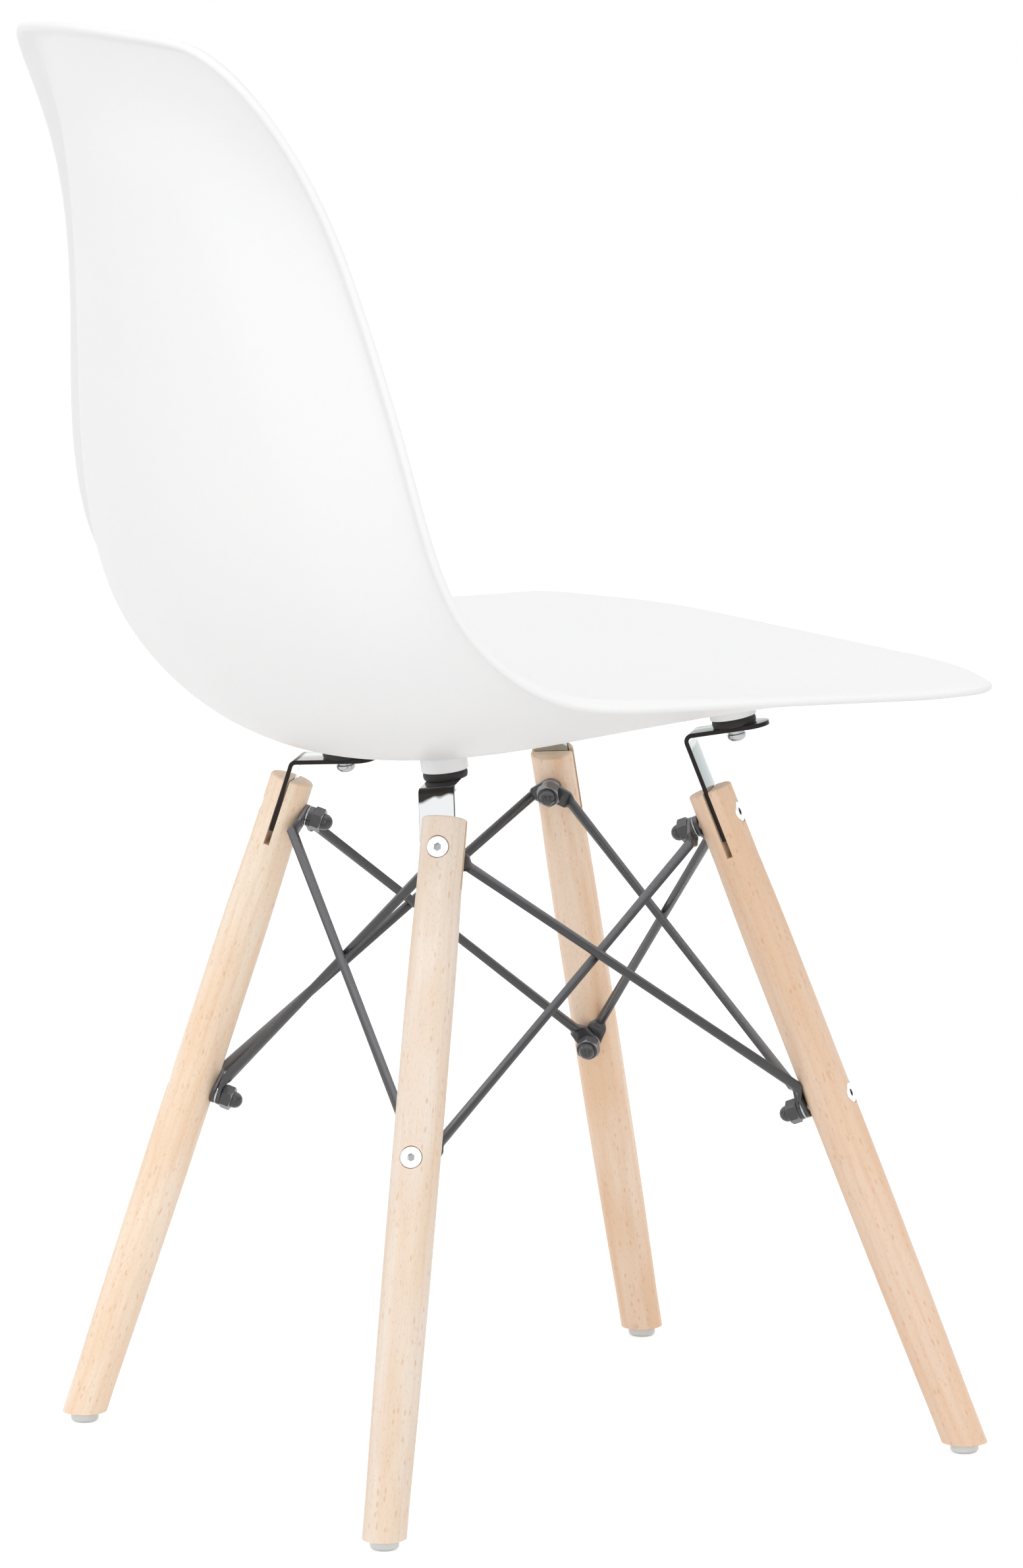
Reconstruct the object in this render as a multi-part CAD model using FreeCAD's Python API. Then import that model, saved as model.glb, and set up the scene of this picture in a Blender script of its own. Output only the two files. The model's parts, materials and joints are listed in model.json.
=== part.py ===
import FreeCAD, Part
import math
import os
from FreeCAD import Vector

# Side chair with a moulded plastic shell on four turned wooden legs.
# Millimetres. The chair faces -Y, the sitter's left is +X, the floor is z = 0.
# The origin is on the floor under the middle of the chair's outline.

# Shell sizes
shell_depth = 490.0
seat_width = 466.0
top_height = 816.0
seat_low_height = 411.0
lip_rise = 30.0
lip_crest_rise = 35.0
shell_wall = 4.6
lip_straight_share = 0.42
top_straight_share = 0.58
lip_corner_power = 2.1
top_corner_power = 2.7
seat_bow_power = 2.05
back_bow_power = 1.7
rim_roll = 5.0
rim_roll_width = 7.0
rim_roll_fade = 80.0

# Leg sizes
leg_top_drop = 31.5
leg_top_half_width = 84.0
leg_top_half_depth = 86.5
leg_frame_y = -18.5
foot_half_width = 170.5
rear_foot_reach = 181.5
front_foot_reach = 200.0
leg_top_diameter = 25.0
leg_belly_diameter = 26.8
leg_foot_diameter = 24.4
leg_collar_length = 42.0
leg_belly_start = 115.0
leg_belly_end = 200.0
leg_foot_length = 22.0
leg_edge = 0.8
radial_angle = 45.0

# Floor glides
glide_height = 6.0
glide_diameter = 16.0
glide_edge = 1.5
glide_pin_diameter = 4.0
glide_pin_length = 13.0

# Leg slot, leg bolts and cap nuts
upper_bolt_drop = 17.5
bolt_spacing = 171.5
bolt_diameter = 6.0
bolt_head_diameter = 12.0
bolt_head_height = 2.6
bolt_head_recess = 0.5
bolt_head_edge = 0.5
bolt_end_gap = 1.0
bolt_socket_width = 4.0
bolt_socket_depth = 2.0
cap_nut_width = 10.0
cap_nut_hex_height = 6.2
cap_nut_height = 11.8
cap_nut_dome_diameter = 9.2
cap_nut_bore_depth = 8.6
bolt_washer_diameter = 12.0
bolt_washer_thickness = 1.2

# Bent steel brackets
strip_width = 20.0
strip_thickness = 2.5
strip_bend_radius = 3.4
slot_depth = 39.0
tang_depth = 29.5
rear_bend_rise = 16.0
front_bend_rise = 33.7
rear_bend_angle = 112.0
front_bend_angle = 79.0
rear_tang_shift = 2.2
rear_bracket_tilt = 7.0
tab_bolt_reach = 27.5
tab_length = 47.0

# Rubber spacers, shell bolts and the shell's bosses
spacer_diameter = 25.0
spacer_height = 4.6
shell_bolt_head_diameter = 10.6
shell_bolt_head_height = 3.6
shell_bolt_grip = 7.5
flat_washer_diameter = 13.0
flat_washer_thickness = 1.0
spring_washer_diameter = 10.4
spring_washer_thickness = 1.6
spring_washer_gap = 1.2
insert_diameter = 9.0
insert_length = 8.0
boss_diameter = 23.5
boss_flare = 2.5

# Cross braces
rod_diameter = 5.8
paddle_width = 12.0
paddle_thickness = 2.4
paddle_neck = 8.0
neck_share = 0.8
rod_start = 15.0
weld_sink = 0.3
neck_sides = 12

# Rounding of small caps
dome_steps = 2

# Clearances
hole_clearance = 0.2
slot_clearance = 0.25
thread_clearance = 0.03
seat_overlap = 0.8

leg_top_height = seat_low_height - leg_top_drop
back_rise = top_height - seat_low_height
seat_half_width = seat_width / 2
half_wall = shell_wall / 2
shank_radius = bolt_diameter / 2
bolt_hole_radius = shank_radius + hole_clearance

# Shell stations from the front lip to the top edge: the centre line as (distance back from
# the lip, rise over the seat's low point), the edge as (half width, distance back, rise).
centre_line = [
    (0, lip_rise),
    (28, lip_crest_rise),
    (125, 20),
    (250, 0),
    (348, 1),
    (414, 49),
    (449, 0.448 * back_rise),
    (464, 0.751 * back_rise),
    (shell_depth - half_wall, back_rise),
]
edge_line = [
    (seat_half_width - 17, 30, 37),
    (seat_half_width, 55, 35),
    (seat_half_width, 140, 38),
    (seat_half_width - 4, 259, 43),
    (seat_half_width - 14, 326, 54),
    (seat_half_width - 28, 367, 92),
    (seat_half_width - 46, 392, 0.442 * back_rise),
    (seat_half_width - 81, 413, 0.729 * back_rise),
    (seat_half_width - 97, 457, 0.976 * back_rise),
]
station_places = [0.0, 0.08, 0.22, 0.38, 0.50, 0.60, 0.74, 0.88, 1.0]
lip_corner_place = 0.105
top_corner_place = 0.85
corner_steps = 5
middle_steps = 10
cross_steps = 10
rim_line_steps = 3
rim_steps = 3
rim_strip_shares = [0.0, 0.18, 0.4, 0.66, 1.0]


def unit(vector):
    return Vector(vector).normalize()


def frame_at(origin, x_dir, z_dir):
    """Placement with its Z along z_dir and its X as near x_dir as it can be."""
    z = unit(z_dir)
    x = unit(x_dir - z * x_dir.dot(z))
    y = z.cross(x)
    return FreeCAD.Placement(FreeCAD.Matrix(
        x.x, y.x, z.x, origin.x,
        x.y, y.y, z.y, origin.y,
        x.z, y.z, z.z, origin.z,
        0, 0, 0, 1))


def placed(shape, placement):
    copy = shape.copy()
    copy.Placement = placement.multiply(copy.Placement)
    return copy


def disc(radius, height, base=0.0):
    return Part.makeCylinder(radius, height, Vector(0, 0, base))


def ring(outer_radius, inner_radius, height, base=0.0):
    return disc(outer_radius, height, base).cut(disc(inner_radius, height, base))


def hex_prism(width, height, base=0.0):
    """Six-sided prism, width across its flats."""
    corner = width / math.sqrt(3)
    points = []
    for step in range(7):
        angle = math.radians(60 * step)
        points.append(Vector(corner * math.cos(angle), corner * math.sin(angle), base))
    return Part.Face(Part.makePolygon(points)).extrude(Vector(0, 0, height))


def dome_outline(radius, rise, base):
    """Points of a rounded cap's half outline, from its rim up to its crown."""
    points = []
    for step in range(dome_steps + 1):
        turn = math.radians(90 * step / dome_steps)
        points.append(Vector(radius * math.cos(turn), 0, base + rise * math.sin(turn)))
    points[-1].x = 0
    return points


def revolved(points):
    """Solid turned about Z from the corners of its half outline."""
    return Part.Face(Part.makePolygon(points + points[:1])).revolve(Vector(0, 0, 0), Vector(0, 0, 1), 360)


def spline_through(points, places):
    curve = Part.BSplineCurve()
    curve.interpolate(Points=points, Parameters=places)
    return curve


def spline_patch(rows, row_places, column_places):
    """Smooth face through a grid of points, the same along an edge for each patch that shares it."""
    row_curves = [spline_through(row, column_places) for row in rows]
    pole_rows = [curve.getPoles() for curve in row_curves]
    pole_columns = []
    for column in zip(*pole_rows):
        column_curve = spline_through(list(column), row_places)
        pole_columns.append(column_curve.getPoles())
    poles = [list(row) for row in zip(*pole_columns)]
    surface = Part.BSplineSurface()
    surface.buildFromPolesMultsKnots(
        poles,
        column_curve.getMultiplicities(), row_curves[0].getMultiplicities(),
        column_curve.getKnots(), row_curves[0].getKnots(),
        False, False, 3, 3)
    return surface.toShape()


lip_y = -shell_depth / 2 + half_wall
centre_curve = spline_through(
    [Vector(0, lip_y + back, seat_low_height + rise) for back, rise in centre_line], station_places)
edge_curve = spline_through(
    [Vector(width - half_wall, lip_y + back, seat_low_height + rise) for width, back, rise in edge_line],
    station_places)


def sheet_point(place, share):
    """Point of the plain middle sheet: place runs lip to top, share runs centre to edge."""
    centre = centre_curve.value(place)
    edge = edge_curve.value(place)
    power = seat_bow_power + (back_bow_power - seat_bow_power) * place
    bow = abs(share) ** power
    return Vector(edge.x * share,
                  centre.y + (edge.y - centre.y) * bow,
                  centre.z + (edge.z - centre.z) * bow)


def sheet_normal(place, share):
    """Unit normal of the plain middle sheet, towards the sitter."""
    step = 1e-4
    before = max(place - step, 0.0)
    after = min(place + step, 1.0)
    along = sheet_point(after, share) - sheet_point(before, share)
    across = sheet_point(place, share + step) - sheet_point(place, share - step)
    return unit(across.cross(along))


def round_off(turn, straight, power):
    """Share left by a rounded corner, from 1 where it starts down to its straight part."""
    return straight + (1 - straight) * max(1 - turn ** power, 0) ** (1 / power)


def corner_share(place):
    """Share of the half width that the rounded corners leave at this place."""
    if place < lip_corner_place:
        return round_off((lip_corner_place - place) / lip_corner_place, lip_straight_share, lip_corner_power)
    if place > top_corner_place:
        turn = (place - top_corner_place) / (1 - top_corner_place)
        return round_off(turn, top_straight_share, top_corner_power)
    return 1.0


def sheet_places():
    """Places along the shell, closer together round the corners."""
    places = []
    for step in range(corner_steps):
        turn = math.radians(90 * (1 - step / corner_steps))
        places.append(lip_corner_place * (1 - math.sin(turn)))
    for step in range(middle_steps):
        places.append(lip_corner_place + (top_corner_place - lip_corner_place) * step / middle_steps)
    for step in range(corner_steps + 1):
        turn = math.radians(90 * step / corner_steps)
        places.append(top_corner_place + (1 - top_corner_place) * math.sin(turn))
    return places


def sheet_shares():
    """Shares of the half width, from the right edge to the left one."""
    return [math.sin(math.radians(90 * (2 * step / cross_steps - 1))) for step in range(cross_steps + 1)]


def rim_line():
    """Points close together once round the edge of the plain sheet, its left side first."""
    places = sheet_places()
    finer = [1.0]
    for start, end in zip(places, places[1:]):
        finer += [start + (end - start) * step / rim_line_steps for step in range(rim_line_steps)]
    finer.sort()
    across = [step / cross_steps for step in range(cross_steps)]
    left = [sheet_point(0.0, share * corner_share(0.0)) for share in across]
    left += [sheet_point(place, corner_share(place)) for place in finer]
    left += [sheet_point(1.0, share * corner_share(1.0)) for share in across[::-1]]
    right = [Vector(-point.x, point.y, point.z) for point in left[1:-1]]
    return left + right[::-1]


plain_edge = rim_line()


def edge_near(point):
    """Distance from a point to the plain sheet's edge, and the edge's direction there."""
    least, direction = None, None
    for start, end in zip(plain_edge, plain_edge[1:] + plain_edge[:1]):
        run = end - start
        share = min(max((point - start).dot(run) / run.dot(run), 0.0), 1.0)
        gap = (point - start - run * share).Length
        if least is None or gap < least:
            least, direction = gap, unit(run)
    return least, direction


def roll_at(distance):
    """Push towards the sitter, and its slope, at a distance from the edge."""
    if distance < rim_roll_width:
        left = 1 - distance / rim_roll_width
        return rim_roll * (1 - left ** 2), rim_roll * 2 * left / rim_roll_width
    faded = min((distance - rim_roll_width) / rim_roll_fade, 1.0)
    push = rim_roll * (1 - faded ** 2 * (3 - 2 * faded))
    return push, -rim_roll * 6 * faded * (1 - faded) / rim_roll_fade


def speed(before, after, step):
    """Length of sheet for each unit of place or share."""
    return (after - before).Length / step


def rolled_cell(inset, place, share):
    """Point and normal of the rolled sheet, on a grid whose border lies this far inside the edge."""
    step = 1e-3
    lip_margin = inset / speed(centre_curve.value(0.0), centre_curve.value(step), step)
    top_margin = inset / speed(centre_curve.value(1.0 - step), centre_curve.value(1.0), step)
    at = lip_margin + place * (1 - lip_margin - top_margin)
    across_speed = speed(sheet_point(at, 1.0 - step), sheet_point(at, 1.0), step)
    reach = corner_share(place) - inset / across_speed
    point = sheet_point(at, reach * share)
    normal = sheet_normal(at, reach * share)
    distance, direction = edge_near(point)
    push, slope = roll_at(distance)
    outward = unit(direction.cross(normal))
    return point + normal * push, unit(normal + outward * slope)


class Border:
    """One of the four sides of a grid on the sheet: its points, normals and curve parameters."""

    def __init__(self, inset, cells, curve_places, sign):
        rolled = [rolled_cell(inset, place, share) for place, share in cells]
        self.points = [point for point, normal in rolled]
        self.normals = [normal for point, normal in rolled]
        self.curve_places = curve_places
        self.sign = sign

    def line(self, shift):
        """Curve beside the border, moved by what shift gives for each point's index."""
        row = [point + shift(index) for index, point in enumerate(self.points)]
        return spline_through(row, self.curve_places).toShape()

    def face_line(self, side):
        """The border's line on the shell's inner (1) or outer (-1) face."""
        return self.line(lambda index: self.normals[index] * (side * half_wall))

    def outward(self, index):
        """Direction in the rolled sheet, square to its edge, away from the sheet."""
        index %= len(self.points)
        before = self.points[max(index - 1, 0)]
        after = self.points[min(index + 1, len(self.points) - 1)]
        return unit((after - before).cross(self.normals[index])) * self.sign


def grid_borders(inset, row_places, column_places):
    """The front, top, right and left borders of a grid."""
    places, shares = sheet_places(), sheet_shares()
    return [
        Border(inset, [(0.0, share) for share in shares], column_places, 1),
        Border(inset, [(1.0, share) for share in shares], column_places, -1),
        Border(inset, [(place, -1.0) for place in places], row_places, -1),
        Border(inset, [(place, 1.0) for place in places], row_places, 1),
    ]


def make_shell_sheet():
    """The rolled sheet as a solid: two smooth faces, strips where the rim rolls, and a round edge."""
    shares = sheet_shares()
    column_places = [(share + 1) / 2 for share in shares]
    grid = [[rolled_cell(rim_roll_width, place, share) for share in shares] for place in sheet_places()]
    row_places = [0.0]
    for before, after in zip(grid, grid[1:]):
        steps = [(b[0] - a[0]).Length for a, b in zip(before, after)]
        row_places.append(row_places[-1] + sum(steps) / len(steps))
    row_places = [place / row_places[-1] for place in row_places]

    faces = []
    for side in (1, -1):
        rows = [[point + normal * (side * half_wall) for point, normal in row] for row in grid]
        faces.append(spline_patch(rows, row_places, column_places))
    loops = [grid_borders(rim_roll_width * share, row_places, column_places) for share in rim_strip_shares]
    for outer_loop, inner_loop in zip(loops, loops[1:]):
        for outer, inner in zip(outer_loop, inner_loop):
            faces.extend(Part.makeRuledSurface(outer.face_line(side), inner.face_line(side)) for side in (1, -1))

    front, top, right, left = loops[0]
    ends = {front: (front.outward(0), front.outward(-1)), top: (top.outward(0), top.outward(-1))}
    ends[right] = (ends[front][0], ends[top][0])
    ends[left] = (ends[front][1], ends[top][1])
    for border in loops[0]:
        last = len(border.points) - 1
        directions = [border.outward(index) for index in range(last + 1)]
        directions[0], directions[last] = ends[border]
        lines = []
        for step in range(rim_steps + 1):
            turn = math.radians(90 - 180 * step / rim_steps)
            lines.append(border.line(lambda index: (
                directions[index] * math.cos(turn) + border.normals[index] * math.sin(turn)) * half_wall))
        faces.extend(Part.makeRuledSurface(before, after) for before, after in zip(lines, lines[1:]))
    sheet = Part.makeShell(faces)
    sheet.sewShape()
    solid = Part.makeSolid(sheet)
    if solid.Volume < 0:
        solid.reverse()
    return solid


def wall_height_over(x, y):
    """Height of the middle sheet over a point of the seat."""
    low = lip_corner_place
    high = station_places[4]
    for _ in range(40):
        place = (low + high) / 2
        point = sheet_point(place, x / edge_curve.value(place).x)
        if point.y < y:
            low = place
        else:
            high = place
    return point.z


def swell(start, end, share):
    """Radius along a run that levels out at its far end."""
    return end + (start - end) * (1 - share) ** 2


class Corner:
    """One leg's place: its axis, the way its bolts point, and its bracket."""

    def __init__(self, name, side, front):
        self.name = name
        self.front = front
        end = -1 if front else 1
        reach = front_foot_reach if front else rear_foot_reach
        self.top = Vector(side * leg_top_half_width, leg_frame_y + end * leg_top_half_depth, leg_top_height)
        self.foot = Vector(side * foot_half_width, leg_frame_y + end * reach, glide_height)
        self.axis = unit(self.top - self.foot)
        self.length = (self.top - self.foot).Length
        turn = math.radians(radial_angle)
        outward = Vector(side * math.cos(turn), end * math.sin(turn), 0)
        self.frame = frame_at(self.top, outward, self.axis)
        self.radial = self.frame.Rotation.multVec(Vector(1, 0, 0))
        self.across = self.frame.Rotation.multVec(Vector(0, 1, 0))
        self.drops = {"upper": upper_bolt_drop, "lower": upper_bolt_drop + bolt_spacing}
        lean = math.radians((front_bend_angle if front else rear_bend_angle) - 90)
        way = 1 if front else -1
        self.bend_rise = front_bend_rise if front else rear_bend_rise
        to_middle = 1 if self.across.x * side < 0 else -1
        self.tang_shift = 0.0 if front else to_middle * rear_tang_shift
        tilt = 0.0 if front else math.radians(rear_bracket_tilt)
        strip_axis = self.axis * math.cos(tilt) + self.across * (to_middle * math.sin(tilt))
        upper_bolt = self.top - self.axis * upper_bolt_drop
        self.strip_frame = frame_at(upper_bolt + strip_axis * upper_bolt_drop, self.radial, strip_axis)
        self.tab_local = Vector(way * math.cos(lean), 0, math.sin(lean))
        self.tab_normal_local = Vector(-way * math.sin(lean), 0, math.cos(lean))
        bend = Vector(0, self.tang_shift, self.bend_rise)
        self.tab_bolt = self.strip_frame.multVec(bend + self.tab_local * tab_bolt_reach)
        self.tab_direction = self.strip_frame.Rotation.multVec(self.tab_local)
        self.tab_normal = self.strip_frame.Rotation.multVec(self.tab_normal_local)
        self.tab_frame = frame_at(self.tab_bolt, self.tab_direction, self.tab_normal)

    def radius_at(self, level):
        """The upper bolt crosses the straight collar, the lower one the straight belly."""
        return (leg_top_diameter if level == "upper" else leg_belly_diameter) / 2

    def axis_point(self, level):
        return self.top - self.axis * self.drops[level]

    def inner_point(self, level, distance):
        """Point on a leg bolt's axis, so far inward of the leg's surface."""
        return self.axis_point(level) - self.radial * (self.radius_at(level) + distance)


corners = [
    Corner("rear_right", -1, False),
    Corner("rear_left", 1, False),
    Corner("front_right", -1, True),
    Corner("front_left", 1, True),
]
corner_named = {corner.name: corner for corner in corners}


def boss_frame(corner):
    """Frame at the boss's lower face, on top of the rubber spacer."""
    lift = strip_thickness / 2 + spacer_height
    return frame_at(corner.tab_bolt + corner.tab_normal * lift, corner.tab_direction, corner.tab_normal)


def make_boss(corner):
    frame = boss_frame(corner)
    base = frame.Base
    wall_height = wall_height_over(base.x, base.y)
    height = (wall_height - base.z) / corner.tab_normal.z
    root = height - half_wall
    radius = boss_diameter / 2
    profile = Part.Wire([
        Part.makeLine(Vector(0, 0, 0), Vector(radius, 0, 0)),
        Part.makeLine(Vector(radius, 0, 0), Vector(radius, 0, root - boss_flare)),
        Part.makeLine(Vector(radius, 0, root - boss_flare), Vector(radius + boss_flare, 0, root)),
        Part.makeLine(Vector(radius + boss_flare, 0, root), Vector(radius, 0, height)),
        Part.makeLine(Vector(radius, 0, height), Vector(0, 0, height)),
        Part.makeLine(Vector(0, 0, height), Vector(0, 0, 0)),
    ])
    solid = Part.Face(profile).revolve(Vector(0, 0, 0), Vector(0, 0, 1), 360)
    return placed(solid, frame)


def make_seat_shell():
    shell = make_shell_sheet()
    for corner in corners:
        shell = shell.fuse(make_boss(corner))
    pocket = disc(insert_diameter / 2, insert_length)
    for corner in corners:
        shell = shell.cut(placed(pocket, boss_frame(corner)))
    return shell


def make_insert(corner):
    sleeve = ring(insert_diameter / 2, shank_radius + thread_clearance, insert_length)
    return placed(sleeve, boss_frame(corner))


def make_spacer(corner):
    body = ring(spacer_diameter / 2, bolt_hole_radius, spacer_height, strip_thickness / 2)
    return placed(body, corner.tab_frame)


def round_path(points, radii):
    """Wire of straight runs joined by tangent arcs."""
    edges = []
    start = points[0]
    for index in range(1, len(points) - 1):
        corner = points[index]
        back = unit(points[index - 1] - corner)
        ahead = unit(points[index + 1] - corner)
        half_turn = back.getAngle(ahead) / 2
        trim = radii[index - 1] / math.tan(half_turn)
        centre = corner + unit(back + ahead) * (radii[index - 1] / math.sin(half_turn))
        first = corner + back * trim
        last = corner + ahead * trim
        middle = centre + unit(corner - centre) * radii[index - 1]
        edges.append(Part.makeLine(start, first))
        edges.append(Part.Arc(first, middle, last).toShape())
        start = last
    edges.append(Part.makeLine(start, points[-1]))
    return Part.Wire(edges)


def make_bracket(corner):
    """Flat strip bent once: a tang for the leg's slot and a round-ended tab under the shell."""
    half_width = strip_width / 2
    bend = Vector(0, corner.tang_shift, corner.bend_rise)
    start = Vector(0, corner.tang_shift, -tang_depth)
    end = bend + corner.tab_local * tab_length
    path = round_path([start, bend, end], [strip_bend_radius])
    half_thickness = strip_thickness / 2
    outline = Part.makePolygon([
        start + Vector(x, y, 0) for x, y in (
            (-half_thickness, -half_width), (half_thickness, -half_width),
            (half_thickness, half_width), (-half_thickness, half_width),
            (-half_thickness, -half_width))])
    strip = path.makePipeShell([outline], True, False)
    round_centre = bend + corner.tab_local * (tab_length - half_width)
    end_frame = frame_at(round_centre, corner.tab_local, corner.tab_normal_local)
    waste = Part.makeBox(strip_width, 2 * strip_width, 4 * strip_thickness,
                         Vector(0, -strip_width, -2 * strip_thickness))
    waste = waste.cut(disc(half_width, 4 * strip_thickness, -2 * strip_thickness))
    strip = strip.cut(placed(waste, end_frame))
    tab_frame = frame_at(bend + corner.tab_local * tab_bolt_reach, corner.tab_local, corner.tab_normal_local)
    hole = disc(bolt_hole_radius, 4 * strip_thickness, -2 * strip_thickness)
    strip = strip.cut(placed(hole, tab_frame))
    tang_frame = frame_at(Vector(0, 0, -upper_bolt_drop), Vector(0, 0, 1), Vector(1, 0, 0))
    strip = strip.cut(placed(hole, tang_frame))
    return placed(strip, corner.strip_frame)


def make_shell_bolt(corner):
    """Button-head bolt from below, its shank ending inside the boss."""
    under_tab = strip_thickness / 2 + flat_washer_thickness + spring_washer_thickness
    top = strip_thickness / 2 + spacer_height + shell_bolt_grip
    head_radius = shell_bolt_head_diameter / 2
    rise = shell_bolt_head_height
    rim = rise / 3
    head = revolved([Vector(0, 0, 0), Vector(head_radius, 0, 0)] + dome_outline(head_radius, rise - rim, rim))
    head = head.cut(hex_prism(bolt_socket_width, bolt_socket_depth, rise - bolt_socket_depth))
    head.rotate(Vector(0, 0, 0), Vector(1, 0, 0), 180)
    shank = disc(shank_radius, under_tab + top)
    bolt = head.fuse(shank)
    bolt.translate(Vector(0, 0, -under_tab))
    return placed(bolt, corner.tab_frame)


def make_flat_washer(corner):
    base = -strip_thickness / 2 - flat_washer_thickness
    washer = ring(flat_washer_diameter / 2, bolt_hole_radius, flat_washer_thickness, base)
    return placed(washer, corner.tab_frame)


def make_spring_washer(corner):
    base = -strip_thickness / 2 - flat_washer_thickness - spring_washer_thickness
    washer = ring(spring_washer_diameter / 2, bolt_hole_radius, spring_washer_thickness, base)
    split = Part.makeBox(spring_washer_diameter, spring_washer_gap, 2 * spring_washer_thickness,
                         Vector(0, -spring_washer_gap / 2, base - spring_washer_thickness / 2))
    return placed(washer.cut(split), corner.tab_frame)


def make_leg(corner):
    """Turned leg: a straight collar, a swell up to the belly, and a long taper to the foot."""
    collar = leg_top_diameter / 2
    belly = leg_belly_diameter / 2
    foot = leg_foot_diameter / 2
    taper_end = corner.length - leg_foot_length
    end = corner.length + belly
    swell_middle = (leg_collar_length + leg_belly_start) / 2
    taper_middle = (leg_belly_end + taper_end) / 2
    points = [Vector(radius, 0, -drop) for radius, drop in (
        (0, 0), (collar - leg_edge, 0), (collar, leg_edge), (collar, leg_collar_length),
        (swell(collar, belly, 0.5), swell_middle), (belly, leg_belly_start),
        (belly, leg_belly_end), (swell(foot, belly, 0.5), taper_middle), (foot, taper_end),
        (foot, end), (0, end))]
    profile = Part.Wire([
        Part.makeLine(points[0], points[1]),
        Part.makeLine(points[1], points[2]),
        Part.makeLine(points[2], points[3]),
        Part.Arc(points[3], points[4], points[5]).toShape(),
        Part.makeLine(points[5], points[6]),
        Part.Arc(points[6], points[7], points[8]).toShape(),
        Part.makeLine(points[8], points[9]),
        Part.makeLine(points[9], points[10]),
        Part.makeLine(points[10], points[0]),
    ])
    leg = Part.Face(profile).revolve(Vector(0, 0, 0), Vector(0, 0, 1), 360)
    # The surface's seam is turned clear of the slot and the bolt holes
    leg.rotate(Vector(0, 0, 0), Vector(0, 0, 1), 45)
    slot_width = strip_thickness + 2 * slot_clearance
    slot = Part.makeBox(slot_width, 2 * leg_belly_diameter, slot_depth + leg_edge,
                        Vector(-slot_width / 2, -leg_belly_diameter, -slot_depth))
    leg = leg.cut(slot)
    for level, drop in corner.drops.items():
        radius = corner.radius_at(level)
        across = frame_at(Vector(0, 0, -drop), Vector(0, 0, 1), Vector(1, 0, 0))
        hole = disc(bolt_hole_radius, 4 * radius, -2 * radius)
        recess = disc(bolt_head_diameter / 2 + hole_clearance, radius,
                      radius - bolt_head_recess - bolt_head_height)
        leg = leg.cut(placed(hole.fuse(recess), across))
    leg = placed(leg, corner.frame)
    size = 4 * leg_belly_diameter
    below = Part.makeBox(size, size, size, Vector(corner.foot.x - size / 2, corner.foot.y - size / 2,
                                                  glide_height - size))
    leg = leg.cut(below)
    foot_edges = [edge for edge in leg.Edges if abs(edge.BoundBox.ZMax - glide_height) < 1e-3]
    leg = leg.makeChamfer(leg_edge, foot_edges)
    pin_hole = disc(glide_pin_diameter / 2 + hole_clearance, glide_pin_length + hole_clearance, glide_height)
    return leg.cut(placed(pin_hole, FreeCAD.Placement(Vector(corner.foot.x, corner.foot.y, 0),
                                                      FreeCAD.Rotation())))


def make_glide(corner):
    radius = glide_diameter / 2
    pin = glide_pin_diameter / 2
    outline = [
        Vector(0, 0, 0),
        Vector(radius - glide_edge, 0, 0),
        Vector(radius, 0, glide_edge),
        Vector(radius, 0, glide_height),
        Vector(pin, 0, glide_height),
        Vector(pin, 0, glide_height + glide_pin_length - pin),
        Vector(0, 0, glide_height + glide_pin_length),
        Vector(0, 0, 0),
    ]
    glide = Part.Face(Part.makePolygon(outline)).revolve(Vector(0, 0, 0), Vector(0, 0, 1), 360)
    glide.translate(Vector(corner.foot.x, corner.foot.y, 0))
    return glide


def stack_height():
    """Two brace ends and the washer between them."""
    return 2 * paddle_thickness + bolt_washer_thickness


def make_leg_bolt(corner, level):
    """Flat-head bolt across the leg, its head in a recess and its end inside the cap nut."""
    radius = corner.radius_at(level)
    head_face = radius - bolt_head_recess
    far_end = radius + stack_height() + cap_nut_bore_depth - bolt_end_gap
    head = disc(bolt_head_diameter / 2, bolt_head_height, -bolt_head_height)
    head = head.makeChamfer(bolt_head_edge, [edge for edge in head.Edges if edge.BoundBox.ZMin > -0.01])
    head = head.cut(hex_prism(bolt_socket_width, bolt_socket_depth, -bolt_socket_depth))
    shank = disc(shank_radius, head_face + far_end - bolt_head_height, -head_face - far_end)
    bolt = head.fuse(shank)
    frame = frame_at(corner.axis_point(level) + corner.radial * head_face, corner.axis, corner.radial)
    return placed(bolt, frame)


def make_cap_nut(corner, level):
    dome = cap_nut_dome_diameter / 2
    neck = cap_nut_height - dome
    cap = revolved([Vector(0, 0, 0), Vector(dome, 0, 0)] + dome_outline(dome, dome, neck))
    nut = hex_prism(cap_nut_width, cap_nut_hex_height).fuse(cap)
    nut = nut.cut(disc(shank_radius + thread_clearance, cap_nut_bore_depth))
    seat = corner.inner_point(level, stack_height())
    return placed(nut, frame_at(seat, corner.axis, corner.radial * -1))


def make_bolt_washer(corner, level):
    washer = ring(bolt_washer_diameter / 2, bolt_hole_radius, bolt_washer_thickness)
    seat = corner.inner_point(level, paddle_thickness)
    return placed(washer, frame_at(seat, corner.axis, corner.radial * -1))


def section(frame, half_width, half_height):
    """Many-sided outline in a frame's XY plane."""
    points = []
    for side in range(neck_sides + 1):
        turn = 2 * math.pi * (side + 0.5) / neck_sides
        points.append(frame.multVec(Vector(half_width * math.cos(turn), half_height * math.sin(turn), 0)))
    return Part.makePolygon(points)


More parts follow.
